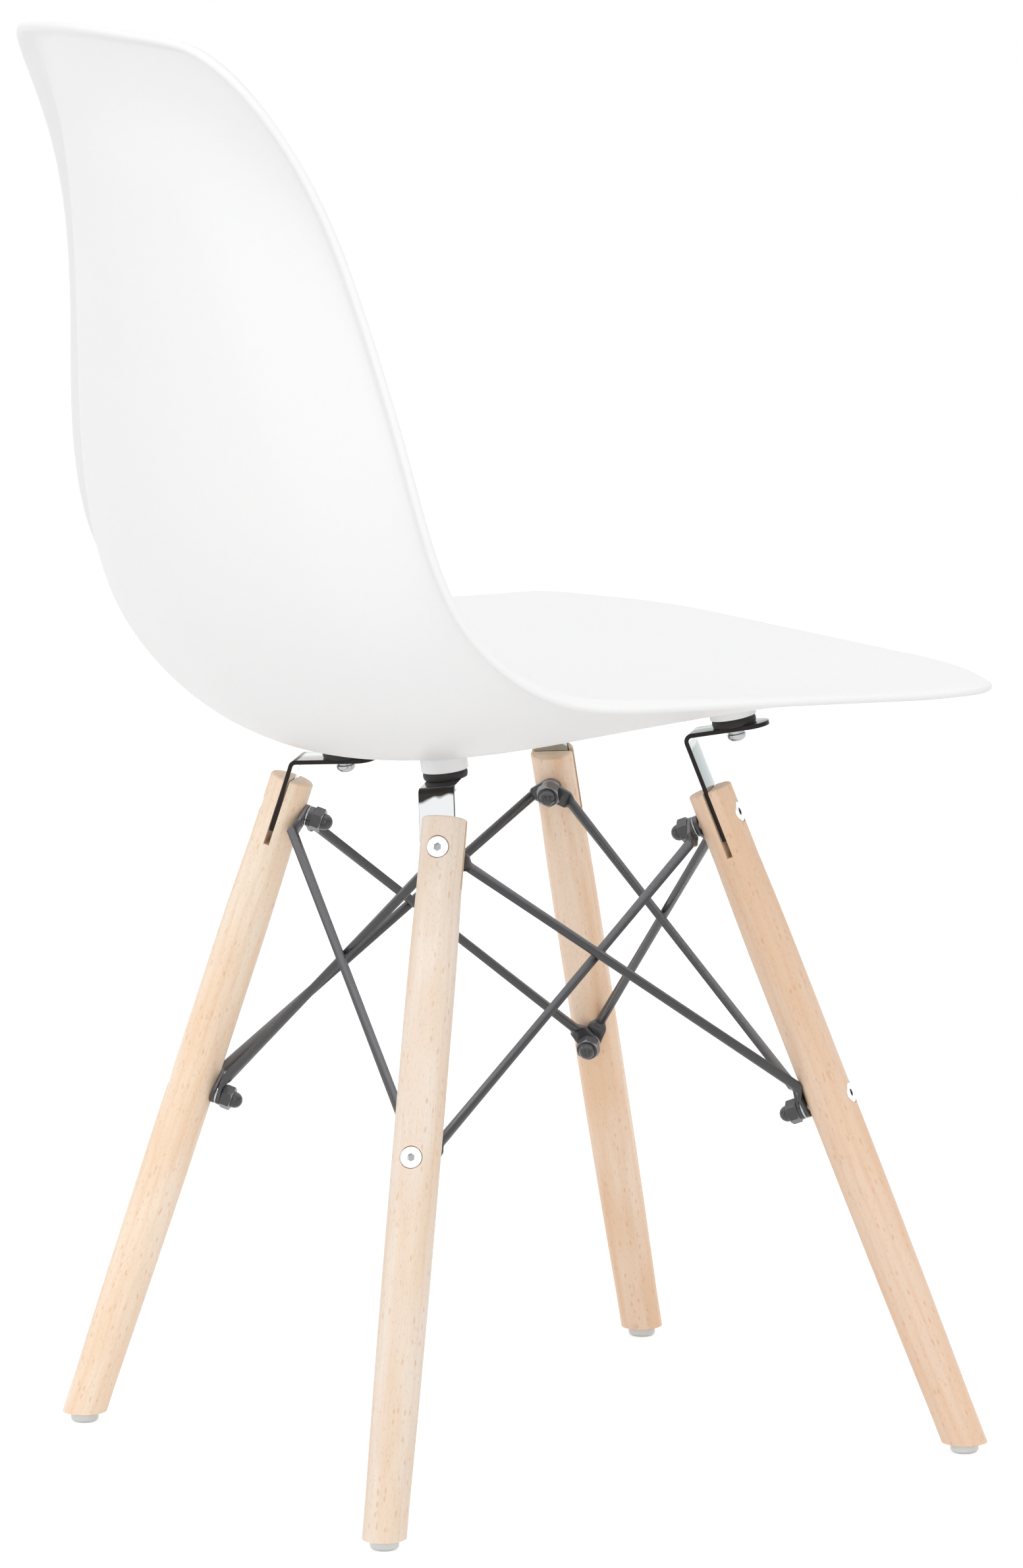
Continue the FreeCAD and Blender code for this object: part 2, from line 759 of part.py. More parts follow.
class BraceEnd:
    """A flattened rod end on a leg bolt, and where its round rod starts."""

    def __init__(self, corner, level, outer, target, off_centre):
        layer = 0.0 if outer else paddle_thickness + bolt_washer_thickness
        self.middle = corner.inner_point(level, layer + paddle_thickness / 2)
        self.normal = corner.radial
        aim = target - self.middle
        self.along = unit(aim - self.normal * aim.dot(self.normal))
        lift = off_centre if outer else -off_centre
        self.start = self.middle + self.along * rod_start + self.normal * lift

    def solid(self, rod_way):
        """Round-ended plate with its bolt hole, and the neck that turns into the rod."""
        half_width = paddle_width / 2
        half_neck = half_width * neck_share
        overlap = paddle_neck + seat_overlap
        outline = Part.Wire([
            Part.Arc(Vector(0, half_width, 0), Vector(-half_width, 0, 0), Vector(0, -half_width, 0)).toShape(),
            Part.makeLine(Vector(0, -half_width, 0), Vector(overlap, -half_neck, 0)),
            Part.makeLine(Vector(overlap, -half_neck, 0), Vector(overlap, half_neck, 0)),
            Part.makeLine(Vector(overlap, half_neck, 0), Vector(0, half_width, 0)),
        ])
        plate = Part.Face(outline).extrude(Vector(0, 0, paddle_thickness))
        plate.translate(Vector(0, 0, -paddle_thickness / 2))
        hole = disc(bolt_hole_radius, 2 * paddle_thickness, -paddle_thickness)
        plate = placed(plate.cut(hole), frame_at(self.middle, self.along, self.normal))
        across = self.normal.cross(self.along)
        flat_frame = frame_at(self.middle + self.along * paddle_neck, across, self.along)
        round_frame = frame_at(self.start + rod_way * seat_overlap, across, rod_way)
        flat = section(flat_frame, half_neck, paddle_thickness / 2)
        neck = Part.makeLoft([flat, section(round_frame, rod_diameter / 2, rod_diameter / 2)], True, True)
        return plate.fuse(neck)


def brace_ends(left, right, off_centre):
    """Ends of a panel's two rods; seen from outside, the outer rod falls from left to right."""
    return [
        BraceEnd(left, "upper", True, right.axis_point("lower"), off_centre),
        BraceEnd(right, "lower", True, left.axis_point("upper"), off_centre),
        BraceEnd(left, "lower", False, right.axis_point("upper"), off_centre),
        BraceEnd(right, "upper", False, left.axis_point("lower"), off_centre),
    ]


def rod_distance(ends):
    """How far apart the centre lines of the two rods pass."""
    outer_way = ends[1].start - ends[0].start
    inner_way = ends[3].start - ends[2].start
    return abs((ends[2].start - ends[0].start).dot(unit(outer_way.cross(inner_way))))


def make_cross_brace(left, right):
    """Two rods welded where they cross, pressed off centre at their ends by just enough to meet there."""
    centred = rod_distance(brace_ends(left, right, 0.0))
    gain = rod_distance(brace_ends(left, right, 1.0)) - centred
    ends = brace_ends(left, right, (rod_diameter - weld_sink - centred) / gain)
    pieces = []
    for first, last in ((ends[0], ends[1]), (ends[2], ends[3])):
        run = last.start - first.start
        way = unit(run)
        pieces.append(Part.makeCylinder(rod_diameter / 2, run.Length, first.start, way))
        pieces.append(first.solid(way))
        pieces.append(last.solid(way * -1))
    return pieces[0].fuse(pieces[1:])


def write_node(name, shapes):
    solids = []
    for shape in shapes:
        solids.extend(shape.Solids)
    whole = solids[0] if len(solids) == 1 else Part.makeCompound(solids)
    whole.exportStep("parts/" + name + ".step")
    volume = sum(solid.Volume for solid in solids)
    valid = all(solid.isValid() for solid in solids)
    print(name, "solids", len(solids), "volume", round(volume), "valid", valid)


os.makedirs("parts", exist_ok=True)
write_node("seat_shell", [make_seat_shell()])
for corner in corners:
    write_node("leg_" + corner.name, [make_leg(corner)])
    write_node("bracket_" + corner.name, [make_bracket(corner)])
write_node("rubber_spacers", [make_spacer(corner) for corner in corners])
write_node("threaded_inserts", [make_insert(corner) for corner in corners])
write_node("shell_bolts", [make_shell_bolt(corner) for corner in corners])
write_node("flat_washers", [make_flat_washer(corner) for corner in corners])
write_node("spring_washers", [make_spring_washer(corner) for corner in corners])
write_node("floor_glides", [make_glide(corner) for corner in corners])
bolt_places = [(corner, level) for corner in corners for level in corner.drops]
write_node("leg_bolts", [make_leg_bolt(corner, level) for corner, level in bolt_places])
write_node("cap_nuts", [make_cap_nut(corner, level) for corner, level in bolt_places])
write_node("brace_washers", [make_bolt_washer(corner, level) for corner, level in bolt_places])

# Each cross brace joins the two legs of one side, named as they are seen from outside
brace_sides = {
    "cross_brace_rear": ("rear_left", "rear_right"),
    "cross_brace_right": ("rear_right", "front_right"),
    "cross_brace_front": ("front_right", "front_left"),
    "cross_brace_left": ("front_left", "rear_left"),
}
for name, (left_name, right_name) in brace_sides.items():
    write_node(name, [make_cross_brace(corner_named[left_name], corner_named[right_name])])
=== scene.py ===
# %% [markdown]
# # A moulded shell chair on turned beech legs
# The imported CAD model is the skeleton: it says where each piece is and how large it is.
# This script dresses it. Nearly every piece is built again with finer surfaces and soft
# edges, from the same sizes in millimetres, and gets a material worked out from the real
# stuff. What stays hidden inside the joints keeps its CAD form.

# %% Load the frame
import json
import math
import bpy
import bmesh
import numpy as np
from mathutils import Matrix, Vector
from mathutils.bvhtree import BVHTree


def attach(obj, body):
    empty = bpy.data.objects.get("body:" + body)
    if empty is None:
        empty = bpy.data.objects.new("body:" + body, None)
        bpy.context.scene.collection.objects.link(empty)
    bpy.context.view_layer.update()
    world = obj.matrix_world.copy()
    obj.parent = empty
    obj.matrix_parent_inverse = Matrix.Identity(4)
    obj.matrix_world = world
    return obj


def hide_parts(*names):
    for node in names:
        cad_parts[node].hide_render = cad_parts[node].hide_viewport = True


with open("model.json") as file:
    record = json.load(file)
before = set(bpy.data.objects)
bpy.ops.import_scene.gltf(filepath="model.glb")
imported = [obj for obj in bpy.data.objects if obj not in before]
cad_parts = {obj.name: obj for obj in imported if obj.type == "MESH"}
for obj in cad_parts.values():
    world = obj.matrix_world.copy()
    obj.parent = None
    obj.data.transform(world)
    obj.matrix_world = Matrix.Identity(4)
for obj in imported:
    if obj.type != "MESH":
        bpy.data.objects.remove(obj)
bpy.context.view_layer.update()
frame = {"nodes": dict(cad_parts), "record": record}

MM = 0.001

# %% [markdown]
# ## Small helpers for materials
# Colours are written as the hex values that a paint program shows, so one function turns
# them into the linear numbers that the renderer works in. A material could be wired up in
# long lists of nodes and links. Here one function adds a node together with its settings
# and what feeds it, so that each material stays short and reads from top to bottom.

# %% Colour and node helpers
def linear(hex_colour):
    """Linear RGBA from an sRGB hex colour."""
    values = [int(hex_colour[i:i + 2], 16) / 255 for i in (1, 3, 5)]
    return [v / 12.92 if v <= 0.04045 else ((v + 0.055) / 1.055) ** 2.4 for v in values] + [1.0]


def add(tree, kind, inputs=None, **settings):
    """Adds a node. Settings name its attributes, or its inputs with underscores for spaces.
    Each of the inputs is given a socket, a node whose first output is meant, or a value."""
    node = tree.nodes.new("ShaderNode" + kind)
    for key, value in settings.items():
        if hasattr(node, key):
            setattr(node, key, value)
        else:
            node.inputs[key.replace("_", " ")].default_value = value
    for key, source in (inputs or {}).items():
        if isinstance(source, bpy.types.Node):
            source = source.outputs[0]
        if isinstance(source, bpy.types.NodeSocket):
            tree.links.new(source, node.inputs[key])
        else:
            node.inputs[key].default_value = source
    return node


def new_material(name, **settings):
    """A material with one Principled shader; returns the material, its tree and the shader."""
    material = bpy.data.materials.new(name)
    material.use_nodes = True
    shader = material.node_tree.nodes["Principled BSDF"]
    for key, value in settings.items():
        shader.inputs[key.replace("_", " ")].default_value = value
    return material, material.node_tree, shader


def surface_grain(tree, shader, size_mm, detail, gloss=None, bump=None):
    """One noise of a real grain size that makes the gloss uneven, raises a fine bump, or both."""
    grain = add(tree, "TexNoise", {"Vector": add(tree, "TexCoord").outputs["Object"]},
                Scale=1 / (size_mm * MM), Detail=detail)
    if gloss:
        low, high = gloss
        rough = add(tree, "MapRange", {"Value": grain}, From_Min=0.3, From_Max=0.7,
                    To_Min=low, To_Max=high)
        tree.links.new(rough.outputs[0], shader.inputs["Roughness"])
    if bump:
        strength, depth_mm = bump
        relief = add(tree, "Bump", {"Height": grain}, Strength=strength, Distance=depth_mm * MM)
        tree.links.new(relief.outputs[0], shader.inputs["Normal"])


print("hex 808080 is", round(linear("#808080")[0], 3), "in linear light")

# %% [markdown]
# ## Moulded polypropylene
# The shell is injection-moulded polypropylene: white pigment in a waxy plastic, with a fine
# satin texture that comes from the spark-eroded mould. The eye sees a soft sheen and a
# little light carried inside. The grit is about 0.4 mm, too fine for a picture of the whole
# chair, so it is drawn at twice that as a weak bump. A slow change of gloss stands for the
# way the plastic flowed in the mould.

# %% White polypropylene
def make_polypropylene():
    material, tree, shader = new_material(
        "polypropylene_white_moulded", Base_Color=linear("#F1F1F1"), Roughness=0.42, IOR=1.49,
        Subsurface_Weight=0.06, Subsurface_Scale=2 * MM)
    flow_mm, grit_mm = 120, 0.8
    surface_grain(tree, shader, flow_mm, 3.0, gloss=(0.38, 0.47))
    surface_grain(tree, shader, grit_mm, 2.0, bump=(0.05, 0.05))
    return material


polypropylene = make_polypropylene()
print(polypropylene.name)

# %% [markdown]
# ## Turned beech
# Beech is a pale pinkish wood. A turned leg shows broad soft bands where the growth rings
# run out, fine dark pores that lie along the grain, and small warm flecks where the wood's
# rays are cut. A clear matt lacquer leaves a faint gloss. Each leg is modelled upright, with
# the grain along Z, and keeps those places as an attribute before it is leant over, so every
# pattern can be stretched along the grain. The four legs come from different boards, so the
# colours and the place in the pattern differ a little. The rear legs and the front right leg
# are also painted a little lighter, painted light to make up for the shade they stand in.

# %% Beech with growth rings, pores and ray flecks
def make_beech(name, pale, warm, fleck, shift):
    """Lacquered beech in three tones; the shift moves the pattern to another board."""
    material, tree, shader = new_material(
        name, Roughness=0.45, IOR=1.5, Coat_Weight=0.12, Coat_Roughness=0.35)
    place = add(tree, "Attribute", attribute_name="along_the_grain").outputs["Vector"]
    moved = add(tree, "Mapping", {"Vector": place}, Location=(shift, shift * 0.7, shift * 3))
    ring_mm = 6.0
    rings = add(tree, "TexWave", {"Vector": moved}, bands_direction="X", Scale=0.314 / (ring_mm * MM),
                Distortion=3.0, Detail=2.0, Detail_Scale=0.35)

    # Each pattern has its real size across and along the grain, in millimetres.
    patterns = {}
    for feature, kind, across_mm, along_mm, settings in (
            ("sway", "TexNoise", 14, 90, {"Detail": 2.0}),
            ("streaks", "TexNoise", 1.1, 35, {"Detail": 4.0, "Roughness": 0.6}),
            ("pores", "TexNoise", 0.42, 2.6, {"Detail": 1.0}),
            ("flecks", "TexVoronoi", 2.4, 7.0, {})):
        scale = (1 / (across_mm * MM), 1 / (across_mm * MM), 1 / (along_mm * MM))
        stretched = add(tree, "Mapping", {"Vector": moved}, Scale=scale)
        patterns[feature] = add(tree, kind, {"Vector": stretched}, Scale=1.0, **settings)

    # A cell of the fleck pattern holds a ray fleck only by chance, and only near its middle.
    chance = add(tree, "SeparateColor", {"Color": patterns["flecks"].outputs["Color"]})
    chosen = add(tree, "MapRange", {"Value": chance}, From_Min=0.62, From_Max=0.70)
    lens = add(tree, "MapRange", {"Value": patterns["flecks"].outputs["Distance"]},
               From_Min=0.14, From_Max=0.34, To_Min=1.0, To_Max=0.0)
    ray_flecks = add(tree, "Math", {0: chosen, 1: lens}, operation="MULTIPLY")

    # The tones are laid over one another; the fourth number is how far each may cover.
    colour = linear(pale)
    for source, low, high, cover, tone in (
            (patterns["sway"], 0.35, 0.65, 1.0, warm),
            (rings.outputs["Fac"], 0.55, 1.0, 0.15, fleck),
            (patterns["streaks"], 0.50, 0.75, 0.18, fleck),
            (ray_flecks, 0.0, 1.0, 0.55, fleck),
            (patterns["pores"], 0.62, 0.74, 0.34, "#B07E54")):
        share = add(tree, "MapRange", {"Value": source}, From_Min=low, From_Max=high, To_Max=cover)
        colour = add(tree, "Mix", {0: share, 6: colour, 7: linear(tone)}, data_type="RGBA").outputs[2]
    tree.links.new(colour, shader.inputs["Base Color"])
    relief = add(tree, "Bump", {"Height": patterns["streaks"]}, Strength=0.08, Distance=0.12 * MM)
    tree.links.new(relief.outputs[0], shader.inputs["Normal"])
    return material


# Besides each board's own tone, rear_right, rear_left and front_right are painted a little lighter to
# make up for the shade they stand in.
leg_beech = {
    "rear_right": make_beech("beech_turned_lacquered_a", "#EEE0D2", "#EAD4BD", "#D8AC86", 0.11),
    "rear_left": make_beech("beech_turned_lacquered_b", "#FDEBD6", "#F8DBBD", "#E6B48C", 0.37),
    "front_right": make_beech("beech_turned_lacquered_c", "#EFD3BB", "#ECC8A7", "#DCA67C", 0.59),
    "front_left": make_beech("beech_turned_lacquered_d", "#F9E1CA", "#F1CCAA", "#E2AE85", 0.83),
}
sawn_beech = make_beech("beech_sawn_bare", "#F9E0C4", "#F2D3B0", "#E0B48A", 0.23)
print("beech boards", len(leg_beech), "and the bare wood in the saw cuts")

# %% [markdown]
# ## Bright zinc and turned brass
# The brackets, washers and bolts are steel with bright zinc plating: nearly a mirror, a
# little blue, with a faint cloudiness from the plating bath. The eye sees whatever stands
# round it, so the roughness matters more than the colour. The clouds are 1 to 3 mm wide and
# make the gloss uneven. The inserts are turned brass, duller and yellow.

# %% Zinc and brass
def make_metal(name, colour, roughness, spread, cloud_mm):
    """Bare or plated metal, whose roughness wanders by the spread from cloud to cloud."""
    material, tree, shader = new_material(
        name, Base_Color=linear(colour), Metallic=1.0, Roughness=roughness)
    surface_grain(tree, shader, cloud_mm, 4.0, gloss=(roughness - spread, roughness + spread),
                  bump=(0.06, 0.03))
    return material


zinc = make_metal("steel_zinc_plated", "#F0F1F2", 0.10, 0.04, 2.0)
zinc_bolt = make_metal("steel_zinc_plated_bolts", "#B4B7B9", 0.16, 0.05, 1.0)
# The leg bolts' heads get a pure white copy of the bolts' zinc: a painted highlight for the light they
# mirror.
painted_highlight_zinc = make_metal("steel_zinc_plated_heads_painted_highlight", "#FFFFFF", 0.30, 0.03, 3.0)
brass = make_metal("brass_turned", "#C2A05A", 0.3, 0.05, 1.0)
print("metals", [metal.name for metal in (zinc, zinc_bolt, painted_highlight_zinc, brass)])

# %% [markdown]
# ## Black coats and rubber
# The rods wear a satin black powder coat, whose fine orange-peel of about 0.9 mm softens
# its highlights. The cap nuts are black zinc, smoother and deeper. Where rods and nuts face
# up they are painted a lighter grey, a painted highlight from the light above, and the nuts'
# chamfers get a painted grey highlight too. The strips' sheared edges are zinc, painted nearly
# black as a painted dark reflection, and the spacers are moulded rubber with an open, matt grain.

# %% Black coat, black zinc, painted dark edges and rubber
def make_coat(name, colour, roughness, grain_mm, strength, ior, upper=None):
    """A dark skin with a fine grain; upper is a lighter tone painted where it faces up, a painted
    highlight from above.
    """
    material, tree, shader = new_material(
        name, Base_Color=linear(colour), Roughness=roughness, IOR=ior)
    surface_grain(tree, shader, grain_mm, 2.0, gloss=(roughness - 0.04, roughness + 0.05),
                  bump=(strength, 0.05))
    # Where the surface faces up its colour blends to the upper tone: a painted highlight from the light
    # above.
    if upper:
        facing = add(tree, "SeparateXYZ", {0: add(tree, "NewGeometry").outputs["Normal"]})
        share = add(tree, "MapRange", {"Value": facing.outputs["Z"]}, From_Min=0.3, From_Max=0.75)
        mixed = add(tree, "Mix", {0: share, 6: linear(colour), 7: linear(upper)}, data_type="RGBA")
        tree.links.new(mixed.outputs[2], shader.inputs["Base Color"])
    return material


# The rods and the nuts are painted lighter grey where they face up: a painted highlight.
black_coat = make_coat("steel_powder_coated_black", "#3F3F41", 0.22, 0.9, 0.004, 1.5, upper="#7C7C80")
black_nut = make_coat("steel_black_zinc_nuts", "#303032", 0.14, 0.6, 0.004, 1.6, upper="#6A6A6E")
# The nuts' chamfers get this lighter grey: a painted highlight on their edges.
nut_chamfer_highlight = make_coat("steel_black_zinc_chamfers_painted_highlight", "#8A8A8D", 0.20, 0.6, 0.004, 1.8)
# The strips' edges are zinc, painted nearly black: a painted dark reflection of the shade round them.
painted_dark_edge = make_coat("steel_zinc_edge_painted_dark", "#292423", 0.30, 1.2, 0.05, 1.25)
rubber = make_coat("rubber_moulded_black", "#262221", 0.50, 0.6, 0.20, 1.4)
print("dark skins", [skin.name for skin in (black_coat, black_nut, nut_chamfer_highlight, painted_dark_edge, rubber)])

# %% [markdown]
# ## Zinc on the bent strips
# Close under the shell the plating mirrors the dark spacer and the shell's shade. On the
# rear strips this stands as a dark patch with a wavy lower border, and on the front strips
# the straight run is the darker part. A plain mirror would need the whole real room round
# it, so the two tones are painted with a border that follows the strip: its height, a slant
# across the strip and a wave about 9 mm long.

# %% Zinc with a second tone at the bend
def make_bent_zinc(name, plain, bend, edge_mm):
    """Zinc with one tone on the straight run and another above a wavy border near the bend."""
    material = make_metal(name, plain, 0.10, 0.04, 2.0)
    tree = material.node_tree
    place = add(tree, "Attribute", attribute_name="along_the_strip").outputs["Vector"]
    axes = add(tree, "SeparateXYZ", {0: place})
    wave = add(tree, "TexNoise", {"Vector": place}, Scale=1 / (9 * MM), Detail=1.0)
    slant = add(tree, "Math", {0: axes.outputs["Y"], 1: -0.13, 2: axes.outputs["Z"]},
                operation="MULTIPLY_ADD")
    height = add(tree, "Math", {0: wave, 1: 6 * MM, 2: slant}, operation="MULTIPLY_ADD")
    above = add(tree, "MapRange", {"Value": height}, From_Min=(edge_mm + 2.4) * MM,
                From_Max=(edge_mm + 3.8) * MM)
    # The tab lies away from the strip's own plane and keeps the plain tone.
    depth = add(tree, "Math", {0: axes.outputs["X"]}, operation="ABSOLUTE")
    upright = add(tree, "MapRange", {"Value": depth}, From_Min=2.0 * MM, From_Max=3.2 * MM,
                  To_Min=1.0, To_Max=0.0)
    share = add(tree, "Math", {0: above, 1: upright}, operation="MULTIPLY")
    mixed = add(tree, "Mix", {0: share, 6: linear(plain), 7: linear(bend)}, data_type="RGBA")
    tree.links.new(mixed.outputs[2], tree.nodes["Principled BSDF"].inputs["Base Color"])
    return material


bent_zinc = {
    "rear": make_bent_zinc("steel_zinc_plated_rear_strips", "#F0F1F2", "#3B3937", 11.0),
    "front": make_bent_zinc("steel_zinc_plated_front_strips", "#B7C2C1", "#E4E7E7", 26.0)}
print("bent strips", [material.name for material in bent_zinc.values()])

# %% [markdown]
# ## Milky nylon
# The glides are moulded nylon without pigment. It isn't clear: light enters and scatters
# within a few millimetres, which the eye reads as milky. Clear plastic with a haze inside
# would do it too, but light carried below the surface does the same and renders faster.

# %% Nylon
def make_nylon():
    material, tree, shader = new_material(
        "nylon_milky_moulded", Base_Color=linear("#E4E7E6"), Roughness=0.35, IOR=1.53,
        Subsurface_Weight=0.5, Subsurface_Scale=4 * MM)
    haze_mm = 3
    surface_grain(tree, shader, haze_mm, 3.0, gloss=(0.3, 0.42))
    return material


nylon = make_nylon()
print(nylon.name)

# %% [markdown]
# ## Materials on the CAD pieces
# Every CAD piece gets its material too. Most are replaced below, but the threaded inserts
# inside the shell's bosses are hidden and stay as they are.

# %% Assign materials to CAD nodes
slot_materials = {
    "shell_plastic": polypropylene, "beech_wood": leg_beech["rear_right"], "zinc_steel": zinc,
    "black_steel": black_coat, "black_rubber": rubber, "brass_insert": brass, "clear_plastic": nylon}
for entry in frame["record"]["subparts"]:
    cad_piece = frame["nodes"][entry["node"]]
    for slot in cad_piece.material_slots:
        slot.material = slot_materials[entry["material_slot"]]

# %% [markdown]
# ## The shell's lines
# The shell is one moulded sheet of even thickness. Its middle surface hangs on two lines:
# the centre line from the front lip to the top edge, and the rim line at the side. They
# could be drawn as curves by hand, but a few stations in millimetres are easier to check
# against the real chair. They are the CAD model's stations, except at the lip, whose centre
# is a little lower and whose corners are fuller here.

# %% Shell sizes and stations
shell_depth, seat_width, wall = 490.0, 466.0, 4.6
seat_low, back_rise = 411.0, 405.0
lip_y = -shell_depth / 2 + wall / 2
half_seat = seat_width / 2
inset = 0.1  # keeps the shell's outline just inside the CAD box
# How far along the shell each station is, then (back from the lip, rise above the seat's low
# point) on the centre line and (half width, back, rise) on the rim line.
station_places = np.array([0.0, 0.08, 0.22, 0.38, 0.50, 0.60, 0.74, 0.88, 1.0])
centre_line = np.array([
    (0, 28.5), (28, 33), (125, 20), (250, 0), (348, 1), (414, 49), (449, 0.448 * back_rise),
    (464, 0.751 * back_rise), (shell_depth - wall / 2 - inset, back_rise - 1.5 * inset)])
edge_line = np.array([
    (half_seat - 17, 30, 42.5), (half_seat, 55, 36.5), (half_seat, 140, 38), (half_seat - 4, 259, 43),
    (half_seat - 14, 326, 54), (half_seat - 28, 367, 92), (half_seat - 46, 392, 0.442 * back_rise),
    (half_seat - 81, 413, 0.729 * back_rise), (half_seat - 97, 457, 0.976 * back_rise)])
# Where the plan's rounded corners end and start, how much of each edge is straight, and how
# square each corner is: 2 would be an ellipse.
lip_corner, top_corner = 0.105, 0.85
lip_straight, top_straight = 0.52, 0.58
lip_power, top_power = 2.5, 2.7
print("stations", len(station_places))

# %% [markdown]
# ## A smooth line through the stations
# A moulded surface has no kinks, so the lines between the stations bend as a thin strip of
# wood would. That is a cubic spline: its pieces share their slope and bend at each station.
# Blender's own curves round a corner by handles instead, and those would have to be placed
# one by one.

# %% Splines
def cubic_through(places, points):
    """Smooth curve through points; its end slopes are those of a cubic through the last four."""
    places = np.asarray(places, float)
    points = np.asarray(points, float)
    count = len(places)

    def end_slope(t, y, at):
        slope = np.zeros(y.shape[1])
        for i in range(4):
            others = [k for k in range(4) if k != i]
            below = np.prod([t[i] - t[k] for k in others])
            above = sum(np.prod([at - t[k] for k in others if k != j]) for j in others)
            slope += y[i] * above / below
        return slope

    steps = np.diff(places)
    rates = np.diff(points, axis=0) / steps[:, None]
    matrix = np.eye(count)
    right = np.zeros_like(points)
    right[0] = end_slope(places[:4], points[:4], places[0])
    right[-1] = end_slope(places[-4:], points[-4:], places[-1])
    for i in range(1, count - 1):
        matrix[i, i - 1:i + 2] = (steps[i], 2 * (steps[i - 1] + steps[i]), steps[i - 1])
        right[i] = 3 * (steps[i] * rates[i - 1] + steps[i - 1] * rates[i])
    slopes = np.linalg.solve(matrix, right)

    def value(t):
        t = np.clip(np.asarray(t, float), places[0], places[-1])
        k = np.clip(np.searchsorted(places, t, side="right") - 1, 0, count - 2)
        h = steps[k][..., None]
        u = ((t - places[k]) / steps[k])[..., None]
        return (points[k] * (1 + 2 * u) * (1 - u) ** 2 + slopes[k] * h * u * (1 - u) ** 2
                + points[k + 1] * u * u * (3 - 2 * u) + slopes[k + 1] * h * u * u * (u - 1))

    return value


centre_at = cubic_through(station_places, [
    (0, lip_y + back, seat_low + rise) for back, rise in centre_line])
edge_at = cubic_through(station_places, [
    (width - wall / 2, lip_y + back, seat_low + rise) for width, back, rise in edge_line])
print("lip's centre", centre_at(0.0).round(1), "top's centre", centre_at(1.0).round(1))

# %% [markdown]
# ## The plain sheet
# Between the two lines each cross-section bows like a shallow dish, rounder in the seat
# than in the back. A power of the distance from the middle gives that bow in one step. The
# lip's corners also bend down, to spare the sitter's knees, so they are lowered by up to
# 8 mm near the front and the sides.

# %% The sheet's points and normals
seat_bow, back_bow = 2.05, 1.7
# The lip's corners drop most at the very front and the very side; these say how far along
# the shell the drop reaches, and where across it starts and how wide its run is.
corner_drop, drop_reach, drop_start, drop_run = 8.0, 0.12, 0.5, 0.4


def sheet_points(place, share):
    """Middle surface of the plain shell, in millimetres."""
    centre, edge = centre_at(place), edge_at(place)
    power = (seat_bow + (back_bow - seat_bow) * place)
    bow = (np.abs(share) ** power)[..., None]
    points = centre + (edge - centre) * bow
    points[..., 0] = edge[..., 0] * share
    near_lip = np.clip(1 - place / drop_reach, 0, 1) ** 2
    near_side = np.clip((np.abs(share) - drop_start) / drop_run, 0, 1) ** 2
    points[..., 2] -= corner_drop * near_lip * near_side
    return points


def unit_rows(vectors):
    return vectors / np.linalg.norm(vectors, axis=-1, keepdims=True)


def sheet_normals(place, share):
    """Unit normals of the plain shell, towards the sitter."""
    step = 1e-4
    along = (sheet_points(np.minimum(place + step, 1), share)
             - sheet_points(np.maximum(place - step, 0), share))
    across = sheet_points(place, share + step) - sheet_points(place, share - step)
    return unit_rows(np.cross(across, along))


middle_seat = sheet_points(np.array([0.38]), np.array([0.0]))[0]
print("the seat's low point is", middle_seat[2].round(1), "mm above the floor")

# %% [markdown]
# ## Where the shell's mesh needs its points
# The rolled rim turns within a few millimetres, so the mesh lines crowd near the edges and
# spread out in the middle. An even grid as fine as the rim needs would have many times the
# faces. Instead the steps grow from half a millimetre at an edge to 4 mm along the shell
# and 6 mm across it.

# %% Rows and columns of the shell mesh
def growing_steps(reach, largest, first=0.5, growth=1.13):
    """Distances from 0 to reach whose steps grow from first up to largest."""
    distances, step = [0.0], first
    while distances[-1] < reach:
        distances.append(distances[-1] + step)
        step = min(step * growth, largest)
    return np.array(distances) * reach / distances[-1]


def round_off(turn, straight, power):
    """Share left by a rounded corner, from 1 where it starts down to its straight part."""
    return straight + (1 - straight) * np.maximum(1 - np.clip(turn, 0, 1) ** power, 0) ** (1 / power)


def shell_grid():
    """Each grid point's place along the shell and its share of the half width."""
    lip_stretch, top_stretch = 480, 700  # millimetres that a whole unit of place would be there
    lip_length, top_length = lip_stretch * lip_corner, top_stretch * (1 - top_corner)
    lip_rows = growing_steps(lip_length, 4.0) / lip_length * lip_corner
    top_rows = 1 - growing_steps(top_length, 4.0)[::-1] / top_length * (1 - top_corner)
    middle_rows = np.linspace(lip_corner, top_corner, 110)[1:-1]
    rows = np.concatenate([lip_rows, middle_rows, top_rows])
    right_half = 1 - (growing_steps(half_seat, 6.0) / half_seat)[::-1]
    columns = np.concatenate([-right_half[::-1], right_half[1:]])
    reach = (round_off((lip_corner - rows) / lip_corner, lip_straight, lip_power)
             * round_off((rows - top_corner) / (1 - top_corner), top_straight, top_power))
    place = np.repeat(rows[:, None], len(columns), axis=1)
    return place, reach[:, None] * columns[None, :]


grid_place, grid_share = shell_grid()
print("shell grid", grid_place.shape)

# %% [markdown]
# ## How far the rim rolls
# The rim is turned outwards all round, which stiffens the edge and draws the bright band
# and the soft crease round the real shell. Each point's distance to the edge says how far
# it is pushed towards the sitter. At the very edge the push is nothing, so the outline
# stays. A few millimetres further in it is full, and then it fades away across the seat.
# The slope of that push tilts the surface, so the rim leans outwards like a flange. It is a
# little steeper than the solid's.

# %% The rim's push and slope
flange_slope, flange_flat, flange_fillet, rim_fade = 1.15, 4.4, 4.4, 80.0
rim_width = flange_flat + flange_fillet
rim_roll = flange_slope * (flange_flat + flange_fillet / 2)


